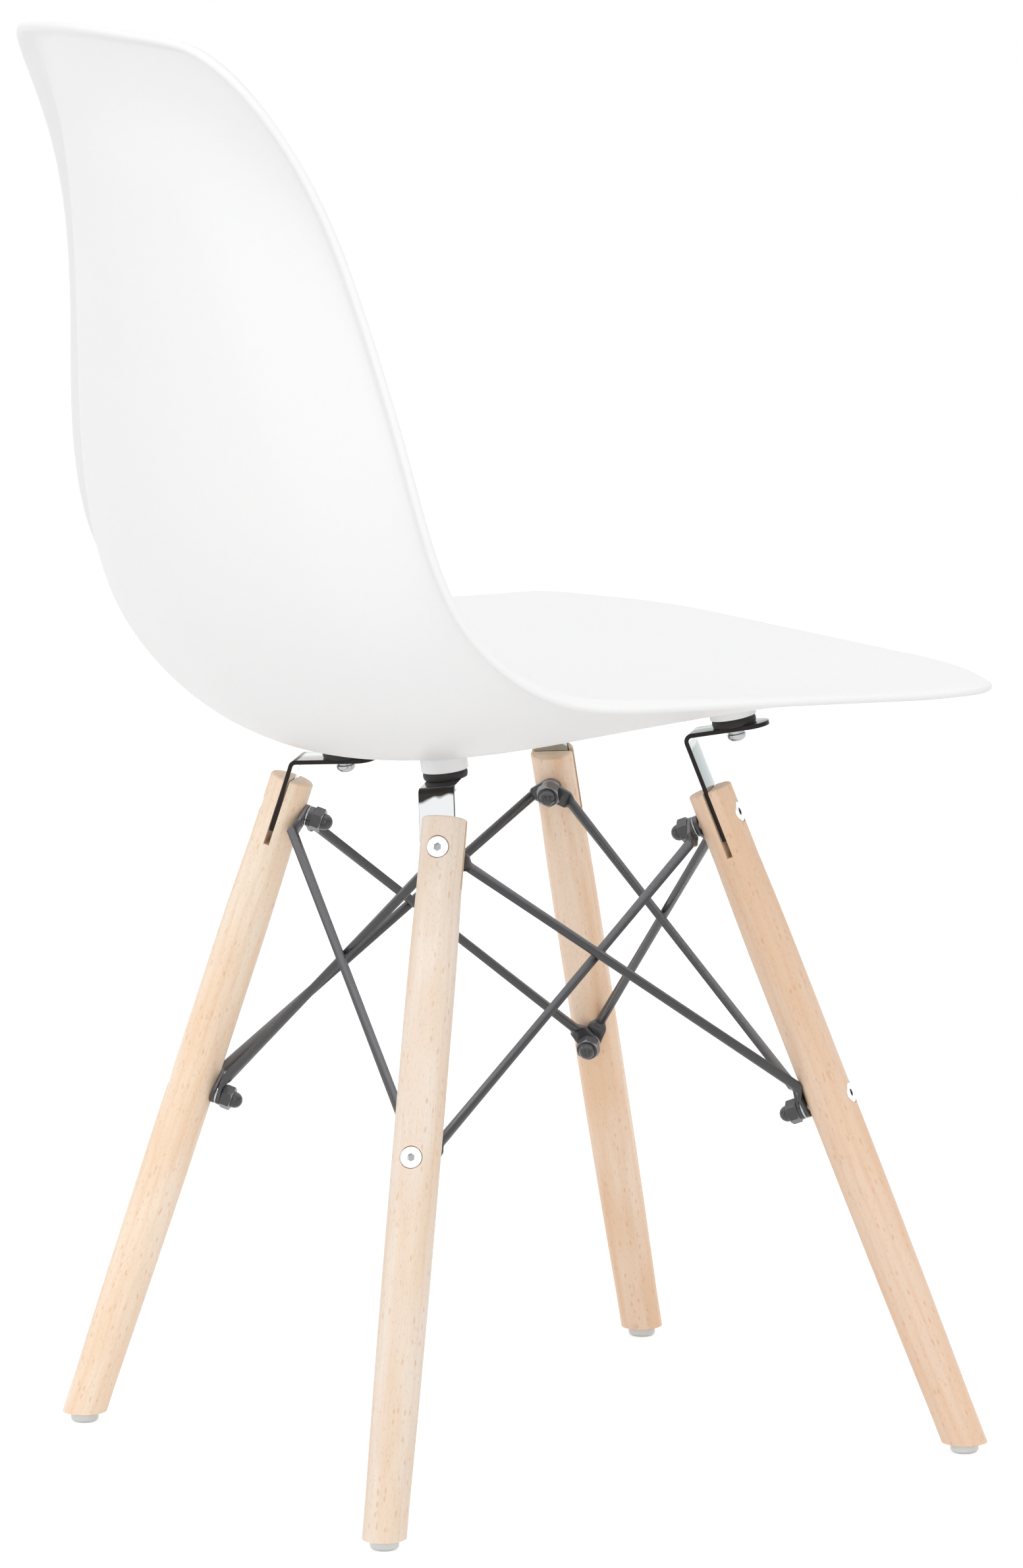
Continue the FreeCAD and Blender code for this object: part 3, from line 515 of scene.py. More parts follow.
def nearest_on_line(points, line):
    """Distance from each point to a closed run of straight segments, and that segment's direction."""
    runs = np.roll(line, -1, axis=0) - line
    squares = np.maximum((runs ** 2).sum(1), 1e-12)
    nearest = np.full(len(points), 1e9)
    directions = np.zeros_like(points)
    for start, run, square in zip(line, runs, squares):
        offset = points - start
        along = np.clip(offset @ run / square, 0, 1)
        gap = ((offset - along[:, None] * run) ** 2).sum(1)
        closer = gap < nearest
        nearest[closer] = gap[closer]
        directions[closer] = run / math.sqrt(square)
    return np.sqrt(nearest), directions


def smooth_step(t):
    """Rises from 0 to 1 and is level at both ends."""
    return t * t * (3 - 2 * t)


def roll_at(distance):
    """Push towards the sitter, and its slope, at a distance from the edge."""
    left = np.clip((rim_width - distance) / flange_fillet, 0, None)
    faded = np.clip((distance - rim_width) / rim_fade, 0, 1)
    fillet_push = rim_roll - flange_slope * flange_fillet / 2 * left ** 2
    near_push = np.where(distance < flange_flat, flange_slope * distance, fillet_push)
    near_slope = flange_slope * np.minimum(left, 1)
    far_push = rim_roll * (1 - smooth_step(faded))
    far_slope = -rim_roll * 6 * faded * (1 - faded) / rim_fade
    near = distance < rim_width
    return np.where(near, near_push, far_push), np.where(near, near_slope, far_slope)


print("the rim stands out by", round(rim_roll, 1), "mm")

# %% [markdown]
# ## The shell's mesh
# Half the wall is laid on each side of the middle surface, and the edge is closed with a
# round, as a moulded edge has. Towards the front lip the roll grows weaker, since nothing
# must press under the sitter's knees. A solidify modifier could thicken the sheet, but it
# leaves a square edge, and the bosses need the underside's points by themselves.

# %% The rolled shell
lip_share, roll_start, roll_run, rim_steps = 0.15, 0.2, 0.35, 8


def edge_loop(rows, columns):
    """Grid indices round the edge, once round, the front lip first."""
    loop = [(0, j) for j in range(columns)]
    loop += [(i, columns - 1) for i in range(1, rows)]
    loop += [(rows - 1, j) for j in range(columns - 2, -1, -1)]
    return loop + [(i, 0) for i in range(rows - 2, 0, -1)]


def grid_quads(rows, columns):
    return [(i * columns + j, i * columns + j + 1, (i + 1) * columns + j + 1, (i + 1) * columns + j)
            for i in range(rows - 1) for j in range(columns - 1)]


def make_shell_sheet():
    """Points and faces of the rolled shell, and its underside as a separate list of points."""
    rows, columns = grid_place.shape
    loop = edge_loop(rows, columns)
    row_of, column_of = np.array(loop).T
    plain = sheet_points(grid_place, grid_share)
    normal = sheet_normals(grid_place, grid_share)
    edge = plain[row_of, column_of]
    distance, direction = nearest_on_line(plain.reshape(-1, 3), edge)
    towards_back = np.clip((grid_place - roll_start) / roll_run, 0, 1)[..., None]
    strength = lip_share + (1 - lip_share) * smooth_step(towards_back)
    push, slope = (value.reshape(rows, columns, 1) * strength for value in roll_at(distance))
    outward = unit_rows(np.cross(direction.reshape(rows, columns, 3), normal))
    middle = plain + normal * push
    normal = unit_rows(normal + outward * slope)
    upper, under = middle + normal * wall / 2, middle - normal * wall / 2

    points = np.concatenate([upper.reshape(-1, 3), under.reshape(-1, 3)])
    quads = grid_quads(rows, columns)
    faces = quads + [tuple(k + rows * columns for k in quad[::-1]) for quad in quads]
    edge_normal = normal[row_of, column_of]
    tangent = np.roll(edge, -1, axis=0) - np.roll(edge, 1, axis=0)
    edge_outward = unit_rows(np.cross(tangent, edge_normal))
    rings = [[i * columns + j for i, j in loop]]
    for step in range(1, rim_steps):
        turn = math.pi / 2 - math.pi * step / rim_steps
        ring = edge + (edge_outward * (math.cos(turn) * (wall / 2 - inset))
                       + edge_normal * (math.sin(turn) * wall / 2))
        rings.append(list(range(len(points), len(points) + len(ring))))
        points = np.concatenate([points, ring])
    rings.append([rows * columns + i * columns + j for i, j in loop])
    for before, after in zip(rings, rings[1:]):
        for k in range(len(loop)):
            n = (k + 1) % len(loop)
            faces.append((before[k], after[k], after[n], before[n]))
    return points, faces, under


shell_points, shell_faces, shell_under = make_shell_sheet()
print("shell sheet", len(shell_points), "points")

# %% [markdown]
# ## Where the legs, bolts and brackets are
# All the hardware hangs on the four legs. A leg leans outwards in two directions, its bolts
# cross it along the diagonal of the seat, and a bent steel strip rises from its slot to the
# shell. This cell works out one small set of frames for each corner, from the same sizes as
# the CAD model, so that each finer piece lands where its solid is. Only the rear left
# bracket of the real chair is bent a little lower than its mirror image, and so it is here.

# %% The four corners
def frame_at(origin, x_dir, z_dir):
    """Matrix with its Z along z_dir and its X as near x_dir as it can be."""
    z = z_dir.normalized()
    x = (x_dir - z * x_dir.dot(z)).normalized()
    y = z.cross(x)
    return Matrix(((x.x, y.x, z.x, origin.x), (x.y, y.y, z.y, origin.y), (x.z, y.z, z.z, origin.z),
                   (0, 0, 0, 1)))


leg_top_height, glide_height = 379.5, 6.0
leg_frame_y, leg_top_half_width, leg_top_half_depth = -18.5, 84.0, 86.5
foot_half_width, rear_foot_reach, front_foot_reach = 170.5, 181.5, 200.0
collar_radius, belly_radius, leg_foot_radius = 12.5, 13.4, 12.2
upper_drop, lower_drop = 17.5, 189.0
bolt_radius, hole_radius = 3.0, 3.2
# The bend's rise above the leg, the shell bolt's reach along the tab, the tab's lean and the
# strip's tilt in degrees, and the tang's shift towards the middle.
bracket_sizes = {
    "rear_right": (16.0, 27.5, 22.0, 7.0, 2.2), "rear_left": (13.2, 28.7, 22.0, 7.0, 2.2),
    "front_right": (33.7, 27.5, -11.0, 0.0, 0.0), "front_left": (33.7, 27.5, -11.0, 0.0, 0.0)}


class Corner:
    """One leg's frames: its axis, the way its bolts point, and its bracket's strip and tab."""

    def __init__(self, name):
        front, side = name.startswith("front"), 1 if name.endswith("left") else -1
        end, foot_reach = (-1, front_foot_reach) if front else (1, rear_foot_reach)
        self.top = Vector((side * leg_top_half_width, leg_frame_y + end * leg_top_half_depth,
                           leg_top_height))
        self.foot = Vector((side * foot_half_width, leg_frame_y + end * foot_reach, glide_height))
        self.axis = (self.top - self.foot).normalized()
        self.length = (self.top - self.foot).length
        outward = Vector((side * math.sqrt(0.5), end * math.sqrt(0.5), 0))
        self.frame = frame_at(self.top, outward, self.axis)
        self.radial = self.frame.col[0].xyz
        across = self.frame.col[1].xyz
        to_middle = 1 if across.x * side < 0 else -1

        self.bend_rise, bolt_reach, lean, tilt, tang_shift = bracket_sizes[name]
        self.tang_shift = to_middle * tang_shift
        lean, tilt, way = math.radians(lean), math.radians(tilt), -end
        strip_axis = self.axis * math.cos(tilt) + across * (to_middle * math.sin(tilt))
        upper_bolt = self.top - self.axis * upper_drop
        self.strip_frame = frame_at(upper_bolt + strip_axis * upper_drop, self.radial, strip_axis)
        self.tab_local = Vector((way * math.cos(lean), 0, math.sin(lean)))
        normal_local = Vector((-way * math.sin(lean), 0, math.cos(lean)))
        bend = Vector((0, self.tang_shift, self.bend_rise))
        turn = self.strip_frame.to_3x3()
        self.tab_frame = frame_at(self.strip_frame @ (bend + self.tab_local * bolt_reach),
                                  turn @ self.tab_local, turn @ normal_local)

    def inward(self, lower, distance):
        """Point on a leg bolt's axis, so far inward of the leg's surface."""
        drop, radius = (lower_drop, belly_radius) if lower else (upper_drop, collar_radius)
        return self.top - self.axis * drop - self.radial * (radius + distance)


corners = {name: Corner(name) for name in bracket_sizes}
bolt_places = [(corner, lower) for corner in corners.values() for lower in (False, True)]
for name, corner in corners.items():
    print(name, "leg", round(corner.length, 1), "tab bolt",
          [round(v, 1) for v in corner.tab_frame.translation])

# %% [markdown]
# ## Rings and skins
# Almost all hardware is either turned, like a bolt head, or swept, like a bent strip. Both
# come down to a stack of rings that are skinned with faces. A turned outline may have an
# angle-dependent radius, which is how a hexagon with its rounded chamfer is made in one go,
# and an outline corner can be given a small rounding, since no real edge is a knife.

# %% Skins, rounded outlines and turned shapes
round_sides = 72


def skin(rings, capped=False):
    """Points and faces between rings of equal counts; a ring of one point closes an end."""
    points, faces, starts = [], [], []
    for ring in rings:
        starts.append(len(points))
        points.extend(ring)
    for index in range(len(rings) - 1):
        a, b = starts[index], starts[index + 1]
        first, second = len(rings[index]), len(rings[index + 1])
        for k in range(max(first, second)):
            m = (k + 1) % max(first, second)
            if first == 1:
                faces.append((a, b + k, b + m))
            elif second == 1:
                faces.append((a + k, b, a + m))
            else:
                faces.append((a + k, b + k, b + m, a + m))
    if capped:
        faces.append(tuple(range(len(rings[0])))[::-1])
        faces.append(tuple(starts[-1] + k for k in range(len(rings[-1]))))
    return points, faces


def rounded(outline, steps=4):
    """Outline whose corners given as (radius, height, rounding) are rounded off."""
    result = []
    for index, corner in enumerate(outline):
        if len(corner) == 2:
            result.append(corner)
            continue
        here = np.array(corner[:2], float)
        before = np.array(outline[index - 1][:2], float) - here
        after = np.array(outline[(index + 1) % len(outline)][:2], float) - here
        start = here + before / np.linalg.norm(before) * corner[2]
        end = here + after / np.linalg.norm(after) * corner[2]
        for t in np.linspace(0, 1, steps + 1):
            result.append(tuple(start * (1 - t) ** 2 + here * 2 * t * (1 - t) + end * t * t))
    return result


def turned(outline, sides=round_sides, closed=False):
    """Points and faces of (radius, height) turned about Z; either may depend on the angle."""
    rings = []
    for radius, height in outline:
        ring = []
        for k in range(sides):
            angle = 2 * math.pi * k / sides
            r = radius(angle) if callable(radius) else radius
            z = height(angle) if callable(height) else height
            ring.append(Vector((r * math.cos(angle), r * math.sin(angle), z)))
        on_axis = not callable(radius) and radius == 0
        rings.append(ring[:1] if on_axis else ring)
    if closed:
        rings.append(rings[0])
    return skin(rings)


def hexagon(width):
    """Radius of a hexagon, by its width across flats, at each angle."""
    sixth = math.pi / 3
    return lambda angle: width / 2 / math.cos(angle % sixth - sixth / 2)


print("a 10 mm hexagon is", round(2 * hexagon(10.0)(0.0), 2), "mm across its corners")

# %% [markdown]
# ## Pieces
# A piece of the chair is gathered from parts in millimetres, each placed by its frame, and
# then becomes one Blender object in metres. Its normals are smooth except across edges
# sharper than a given angle, which is how a crisp fold and a round cylinder can share one
# mesh. Each finished object rides on the chair and takes the place of its CAD node. A
# closed skin has no open edges, so their number is printed too.

# %% Gathering and finishing a piece
fold_angle, join_distance = 38, 0.002


def open_edges(mesh):
    """How many edges don't lie between exactly two faces."""
    edge_of_loop = np.empty(len(mesh.loops), np.int32)
    mesh.loops.foreach_get("edge_index", edge_of_loop)
    return int((np.bincount(edge_of_loop, minlength=len(mesh.edges)) != 2).sum())


def stand_for(piece, node):
    """Lets an object ride on the chair in place of a CAD node."""
    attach(piece, "root")
    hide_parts(node)
    print(piece.name, len(piece.data.vertices), "points, open edges", open_edges(piece.data))


class Piece:
    """Gathers the parts of one piece in millimetres and turns them into a Blender object."""

    def __init__(self, name, *materials):
        self.name, self.materials = name, materials
        self.points, self.faces, self.looks = [], [], []

    def part(self, shape, place=None, look=0):
        """Adds points and faces; look is a material's number, or a function of a face's number."""
        points, faces = shape
        start = len(self.points)
        self.points.extend((place @ Vector(p)) if place else Vector(p) for p in points)
        self.faces.extend(tuple(start + k for k in face) for face in faces)
        self.looks.extend(look(k) if callable(look) else look for k in range(len(faces)))

    def build(self, sharp_angle=fold_angle):
        mesh = bpy.data.meshes.new(self.name)
        mesh.from_pydata([tuple(point * MM) for point in self.points], [], self.faces)
        for material in self.materials:
            mesh.materials.append(material)
        mesh.polygons.foreach_set("material_index", self.looks)
        bm = bmesh.new()
        bm.from_mesh(mesh)
        bmesh.ops.remove_doubles(bm, verts=bm.verts, dist=join_distance * MM)
        bmesh.ops.recalc_face_normals(bm, faces=bm.faces)
        bm.to_mesh(mesh)
        bm.free()
        mesh.shade_smooth()
        mesh.set_sharp_from_angle(angle=math.radians(sharp_angle))
        piece = bpy.data.objects.new(self.name, mesh)
        bpy.context.collection.objects.link(piece)
        return piece

    def finish(self, node, sharp_angle=fold_angle):
        """Builds the piece and lets it stand for a CAD node."""
        stand_for(self.build(sharp_angle), node)


print("points closer than", join_distance, "mm are joined")

# %% [markdown]
# ## Cutting, keeping places and leaning over
# Slots and holes are made the way a workshop makes them, with a tool shape taken away. The
# cut faces keep the tool's material, so a saw cut can show bare wood. A leg or a strip is
# modelled upright, keeps its points' places for the material, and is then leant over, so
# that the grain or the plating follows the piece.

# %% Workshop helpers
def cut_away(piece, tool):
    """Takes a tool's mesh away from a piece; the cut faces keep the tool's material."""
    modifier = piece.modifiers.new("cut", "BOOLEAN")
    modifier.object, modifier.operation, modifier.solver = tool, "DIFFERENCE", "EXACT"
    modifier.material_mode = "TRANSFER"
    evaluated = piece.evaluated_get(bpy.context.evaluated_depsgraph_get())
    result = bpy.data.meshes.new_from_object(evaluated)
    piece.modifiers.clear()
    piece.data = result
    bpy.data.objects.remove(tool)
    result.set_sharp_from_angle(angle=math.radians(fold_angle))


def box(low, high):
    """Points and faces of a box between two corners."""
    xs, ys, zs = zip(low, high)
    points = [(x, y, z) for x in xs for y in ys for z in zs]
    return points, [(0, 1, 3, 2), (4, 6, 7, 5), (0, 4, 5, 1), (2, 3, 7, 6), (0, 2, 6, 4), (1, 5, 7, 3)]


def lean_over(mesh, frame_mm, attribute):
    """Keeps each point's place as an attribute, and moves the mesh to its frame on the chair."""
    places = np.empty(3 * len(mesh.vertices), np.float32)
    mesh.vertices.foreach_get("co", places)
    mesh.attributes.new(attribute, "FLOAT_VECTOR", "POINT").data.foreach_set("vector", places)
    place = frame_mm.copy()
    place.translation *= MM
    mesh.transform(place)


def bolt_way(drop):
    """A leg bolt's frame in its leg's own frame, pointing outwards."""
    return frame_at(Vector((0, 0, -drop)), Vector((0, 0, 1)), Vector((1, 0, 0)))


print("leg bolts at", upper_drop, "and", lower_drop, "mm below the leg's top")

# %% [markdown]
# ## Bosses under the shell
# Four round bosses carry the brass inserts. They are moulded with the shell, so each one
# runs into it with a small fillet. A union with cylinders would leave a hard crease there.
# Instead a ray from the boss up to the shell's underside finds the height at each angle,
# and the fillet's rings are hung below that. The bosses are a little wider than the
# solid's, as wide as they look on the real chair.

# %% The shell with its bosses
strip_thickness, spacer_height = 2.5, 4.6
insert_radius, insert_length = 4.5, 8.0
boss_radius, boss_fillet, boss_edge, boss_sides = 13.1, 1.2, 0.5, 64
boss_overlap = 0.05


def make_boss(place, under_tree):
    """Rings of a boss from its insert's pocket, round its lower edge and up into the shell."""
    def ring_at(radius, height):
        angles = [2 * math.pi * k / boss_sides for k in range(boss_sides if radius else 1)]
        return [place @ Vector((radius * math.cos(a), radius * math.sin(a), height)) for a in angles]

    up = place.col[2].xyz
    outline = rounded([(0, insert_length), (insert_radius, insert_length), (insert_radius, 0),
                       (boss_radius, 0, boss_edge), (boss_radius, 3)])
    rings = [ring_at(radius, height) for radius, height in outline[:-1]]
    for turn in np.radians(np.linspace(0, 90, 7)):
        starts = ring_at(boss_radius + boss_fillet * (1 - math.cos(turn)), 0)
        below = boss_fillet * (1 - math.sin(turn)) - boss_overlap
        rings.append([under_tree.ray_cast(start, up)[0] - up * below for start in starts])
    rings.append([place @ Vector((0, 0, (rings[-1][0] - place.translation).dot(up)))])
    return skin(rings)


def make_shell():
    rows, columns, _ = shell_under.shape
    under_tree = BVHTree.FromPolygons([Vector(p) for p in shell_under.reshape(-1, 3)],
                                      grid_quads(rows, columns))
    shell = Piece("seat_shell_moulding", polypropylene)
    shell.part((shell_points, shell_faces))
    for corner in corners.values():
        lift = Matrix.Translation((0, 0, strip_thickness / 2 + spacer_height))
        shell.part(make_boss(corner.tab_frame @ lift, under_tree))
    shell.finish("seat_shell", sharp_angle=60)


make_shell()

# %% [markdown]
# ## Turned legs with sawn slots
# A leg is turned on a lathe: a straight collar, a swell to the belly and a long taper. Then
# a slot is sawn down from the top for the bracket's tang, the bolt heads are sunk in, and
# the foot is cut level with the floor. The turned body comes from an outline, and the cuts
# are made with tool shapes in the order of the workshop. The cut faces show bare wood, a
# little warmer than the lacquered outside. It looks darker only because little light gets
# into a slot.

# %% Legs
collar_length, belly_start, belly_end, foot_length = 42, 115, 200, 22
slot_depth, slot_half = 39.0, strip_thickness / 2 + 0.4
head_height, head_sunk, head_recess_radius = 2.6, 0.5, 6.35
pin_hole_radius, pin_hole_depth = 2.2, 13.2


def leg_outline(length):
    """Radius and height from the top's middle down to below the foot's cut."""
    def swell(start, end, share):
        return end + (start - end) * (1 - share) ** 2

    shares = np.linspace(0, 1, 9)[1:]
    swell_length, taper_length = belly_start - collar_length, length - belly_end - foot_length
    outline = rounded([(0, 0), (collar_radius - 0.8, 0, 0.25), (collar_radius, -0.8, 0.25),
                       (collar_radius, -6)])
    outline += [(collar_radius, -drop) for drop in range(10, collar_length + 1, 4)]
    outline += [(swell(collar_radius, belly_radius, t), -collar_length - swell_length * t)
                for t in shares]
    outline += [(belly_radius, -drop) for drop in range(belly_start + 10, belly_end + 1, 15)]
    outline += [(swell(leg_foot_radius, belly_radius, 1 - t), -belly_end - taper_length * t)
                for t in shares]
    return outline + [(leg_foot_radius, -length - belly_radius), (0, -length - belly_radius)]


def make_leg(name, corner):
    leg = Piece("leg_turned_" + name, leg_beech[name])
    leg.part(turned(leg_outline(corner.length), sides=96))
    body = leg.build()
    # The tools' bare numbers only make them reach clear of the wood.
    tool = Piece("saw_and_drill", sawn_beech)
    tool.part(box((-slot_half, -30, -slot_depth), (slot_half, 30, 5)))
    for drop, radius in ((upper_drop, collar_radius), (lower_drop, belly_radius)):
        sunk = radius - head_sunk - head_height
        tool.part(turned([(0, -30), (hole_radius, -30), (hole_radius, sunk), (head_recess_radius, sunk),
                          (head_recess_radius, 20), (0, 20)], sides=48), bolt_way(drop))
    cut_away(body, tool.build())

    level = Piece("foot_cut", leg_beech[name])
    to_leg = corner.frame.inverted()
    foot = corner.foot
    level.part(box((foot.x - 60, foot.y - 60, glide_height - 80),
                   (foot.x + 60, foot.y + 60, glide_height)), to_leg)
    level.part(turned([(0, -5), (pin_hole_radius, -5), (pin_hole_radius, pin_hole_depth),
                       (0, pin_hole_depth)], sides=24), to_leg @ Matrix.Translation(foot))
    cut_away(body, level.build())
    lean_over(body.data, corner.frame, "along_the_grain")
    stand_for(body, "leg_" + name)


for name, corner in corners.items():
    make_leg(name, corner)

# %% [markdown]
# ## A bent strip
# Each bracket is a flat steel strip, sheared to length and bent once over a round tool. The
# strip could be drawn flat and bent by a modifier, but sweeping its section along the bent
# path gives the real inner radius and keeps the thickness. The section is a rectangle with
# its corners just broken, as shearing and plating leave them.

# %% The strip's path and section
strip_width, tab_length, tang_depth, bend_radius = 20.0, 47.0, 29.5, 3.4


def bent_path(start, bend, end, radius, steps=10):
    """Points and tangents of two straight runs joined by a round bend."""
    back, ahead = (start - bend).normalized(), (end - bend).normalized()
    half_turn = back.angle(ahead) / 2
    trim = radius / math.tan(half_turn)
    centre = bend + (back + ahead).normalized() * (radius / math.sin(half_turn))
    first, last = bend + back * trim, bend + ahead * trim
    path = [(start, -back), ((start + first) / 2, -back)]
    for t in np.linspace(0, 1, steps + 1):
        arm = ((first - centre).normalized() * math.sin((1 - t) * (math.pi - 2 * half_turn))
               + (last - centre).normalized() * math.sin(t * (math.pi - 2 * half_turn)))
        tangent = (-back * (1 - t) + ahead * t).normalized()
        path.append((centre + arm.normalized() * radius, tangent))
    return path, last, ahead


def strip_ring(centre, tangent, half_width, rounding=0.2, steps=3):
    """Rounded rectangle across the strip, 16 points; sides 3 and 11 are its flat faces."""
    width_way = Vector((0, 1, 0))
    depth_way = tangent.cross(width_way).normalized()
    half_depth = strip_thickness / 2
    half_width = max(half_width, rounding + 0.05)
    ring = []
    for sign_w, sign_d, begin in ((1, 1, 0), (-1, 1, 90), (-1, -1, 180), (1, -1, 270)):
        for step in range(steps + 1):
            turn = math.radians(begin + 90 * step / steps)
            x = sign_w * (half_width - rounding) + rounding * math.cos(turn)
            y = sign_d * (half_depth - rounding) + rounding * math.sin(turn)
            ring.append(centre + width_way * x + depth_way * y)
    return ring


print("a strip's section has", len(strip_ring(Vector(), Vector((0, 0, 1)), strip_width / 2)), "points")

# %% [markdown]
# ## Brackets
# The strip's tang sits in the leg's slot and its tab lies under a spacer. At the tab's end
# the width follows a half circle, and two holes are punched for the bolts. The faces are
# bright zinc. The sheared edges and the punched holes' walls are zinc too, but painted nearly
# black as a painted dark reflection, except where the rear right tab's edge mirrors the
# light. Each face's number says which it is, since the sweep makes the faces ring by ring.

# %% Brackets
def make_bracket(name, corner):
    bend = Vector((0, corner.tang_shift, corner.bend_rise))
    end = bend + corner.tab_local * tab_length
    path, last, ahead = bent_path(Vector((0, corner.tang_shift, -tang_depth)), bend, end, bend_radius)
    half = strip_width / 2
    rings = [strip_ring(point, tangent, half) for point, tangent in path]
    round_start = end - ahead * half
    rings.append(strip_ring((last + round_start) / 2, ahead, half))
    for turn in np.radians(np.linspace(0, 88, 16)):
        centre = round_start + ahead * (half * math.sin(turn))
        rings.append(strip_ring(centre, ahead, half * math.cos(turn)))
    around = len(rings[0])
    first_bright = len(path) - 2 if name == "rear_right" else len(rings)

    def look(face):
        """0 is zinc, on the flat sides and the bright end, and 1 the painted dark reflection on a
        sheared edge.
        """
        ring, side = divmod(face, around)
        if ring >= len(rings) - 1:
            return 1
        return 0 if side in (3, 11) or ring >= first_bright else 1

    bracket = Piece("bracket_strip_" + name, bent_zinc[name.split("_")[0]], painted_dark_edge)
    bracket.part(skin(rings, capped=True), look=look)
    body = bracket.build()
    # The punched holes' walls take the same painted dark reflection.
    punch = Piece("punch", painted_dark_edge)
    drill = turned([(0, -8), (hole_radius, -8), (hole_radius, 8), (0, 8)], sides=48)
    punch.part(drill, corner.strip_frame.inverted() @ corner.tab_frame)
    punch.part(drill, bolt_way(upper_drop))
    cut_away(body, punch.build())
    lean_over(body.data, corner.strip_frame, "along_the_strip")
    stand_for(body, "bracket_" + name)


for name, corner in corners.items():
    make_bracket(name, corner)

# %% [markdown]
# ## Rubber spacers and flat washers
# A rubber spacer keeps the steel tab off the plastic and bulges a little where the bolt
# squeezes it. Under the tab lies a flat washer, and between the pressed rod ends on the
# legs lie smaller ones. All are rings, so each outline is turned and closed on itself.

# %% Spacers and flat washers
spacer_radius, bulge_depth = 12.5, 0.35
flat_washer_radius, flat_washer_thick = 6.5, 1.0
brace_washer_radius, brace_washer_thick, paddle_thick = 6.0, 1.2, 2.4
under_tab = -strip_thickness / 2
under_flat_washer = under_tab - flat_washer_thick


def ring_outline(inner, outer, low, high, rounding):
    """Rectangular section of a ring, its four corners rounded."""
    return rounded([(radius, height, rounding) for radius, height in (
        (inner, low), (outer, low), (outer, high), (inner, high))])


def spacer_outline():
    low, radius = strip_thickness / 2, spacer_radius
    high = low + spacer_height
    bulge = [(radius - bulge_depth * (1 - math.sin(math.pi * t)), low + 0.5 + (spacer_height - 1.0) * t)
             for t in np.linspace(0, 1, 7)]
    return [(hole_radius, low), (radius - 0.8, low), (radius - 0.5, low + 0.15)] + bulge + [
        (radius - 0.5, high - 0.15), (radius - 0.8, high), (hole_radius, high)]


def on_each_tab(name, material, shape, node, sharp_angle=fold_angle):
    """One piece of four equal parts, one on each bracket's tab."""
    piece = Piece(name, material)
    for corner in corners.values():
        piece.part(shape, corner.tab_frame)
    piece.finish(node, sharp_angle)


on_each_tab("spacers_rubber", rubber, turned(spacer_outline(), closed=True),
            "rubber_spacers")
flat_washer = ring_outline(hole_radius, flat_washer_radius, under_flat_washer, under_tab, 0.25)
on_each_tab("flat_washers_zinc", zinc_bolt, turned(flat_washer, closed=True),
            "flat_washers")
brace_washer = ring_outline(hole_radius, brace_washer_radius, 0.0, brace_washer_thick, 0.3)
brace_washers = Piece("brace_washers_zinc", zinc_bolt)
for corner, lower in bolt_places:
    seat = frame_at(corner.inward(lower, paddle_thick), corner.axis, -corner.radial)
    brace_washers.part(turned(brace_washer, closed=True), seat)
brace_washers.finish("brace_washers")

# %% [markdown]
# ## Spring washers
# A spring washer is a piece of square wire wound nearly once round, with a gap between its
# ends. It can't be turned whole, so its section is carried round and capped at the gap.

# %% Spring washers
spring_washer_thick = 1.6
under_washers = under_flat_washer - spring_washer_thick


def spring_washer():
    """Rectangular section carried round nearly one turn."""
    outer, rounding, gap_mm = 4.6, 0.45, 0.6
    section = ring_outline(hole_radius, outer, under_washers, under_flat_washer, rounding)
    rings = []
    for angle in np.linspace(gap_mm / outer, 2 * math.pi - gap_mm / outer, 60):
        rings.append([Vector((r * math.cos(angle), r * math.sin(angle), z)) for r, z in section])
    return skin(rings, capped=True)


on_each_tab("spring_washers_zinc", zinc_bolt, spring_washer(), "spring_washers")

# %% [markdown]
# ## Shell bolts
# A button-head bolt goes up through the washers, the tab and the spacer into the insert.
# The head is forged with a hexagon socket. Its crown is an arc in the outline, and the
# socket is the same outline with a radius that depends on the angle. The head is 1 mm
# taller than the solid's.

# %% Shell bolts
socket_width, socket_depth = 4.0, 2.0


def shell_bolt_outline():
    """Button head below the washers with a hexagon socket, and a shank up into the insert."""
    radius, height, straight, in_insert = 5.3, 4.6, 1.2, 7.5
    head_top, socket = under_washers, hexagon(socket_width)
    crown = [(radius * math.cos(turn), head_top - straight - (height - straight) * math.sin(turn))
             for turn in np.radians(np.linspace(0, 62, 7))]
    socket_end = head_top - height + socket_depth
    shank_top = strip_thickness / 2 + spacer_height + in_insert
    return [(0, socket_end), (socket, socket_end), (socket, crown[-1][1])] + crown[::-1] + [
        (radius, head_top - 0.3), (radius - 0.3, head_top), (bolt_radius, head_top),
        (bolt_radius, shank_top), (0, shank_top)]


on_each_tab("shell_bolts_zinc", zinc_bolt, turned(shell_bolt_outline()),
            "shell_bolts", sharp_angle=30)

# %% [markdown]
# ## Leg bolts
# A leg bolt has a flat round head, sunk in the wood, with a hexagon socket, and its shank
# passes through the leg, the tang and the rod ends into a cap nut. The outline runs from
# the socket's floor over the head and down the shank, so the first faces are the socket's
# and get the bolts' darker zinc. The rest gets a pure white copy of the zinc, a painted
# highlight on the head's face.

# %% Leg bolts
paddle_stack = 2 * paddle_thick + brace_washer_thick
nut_bore_depth, bolt_end_gap = 8.6, 1.0
socket_faces = 2 * round_sides


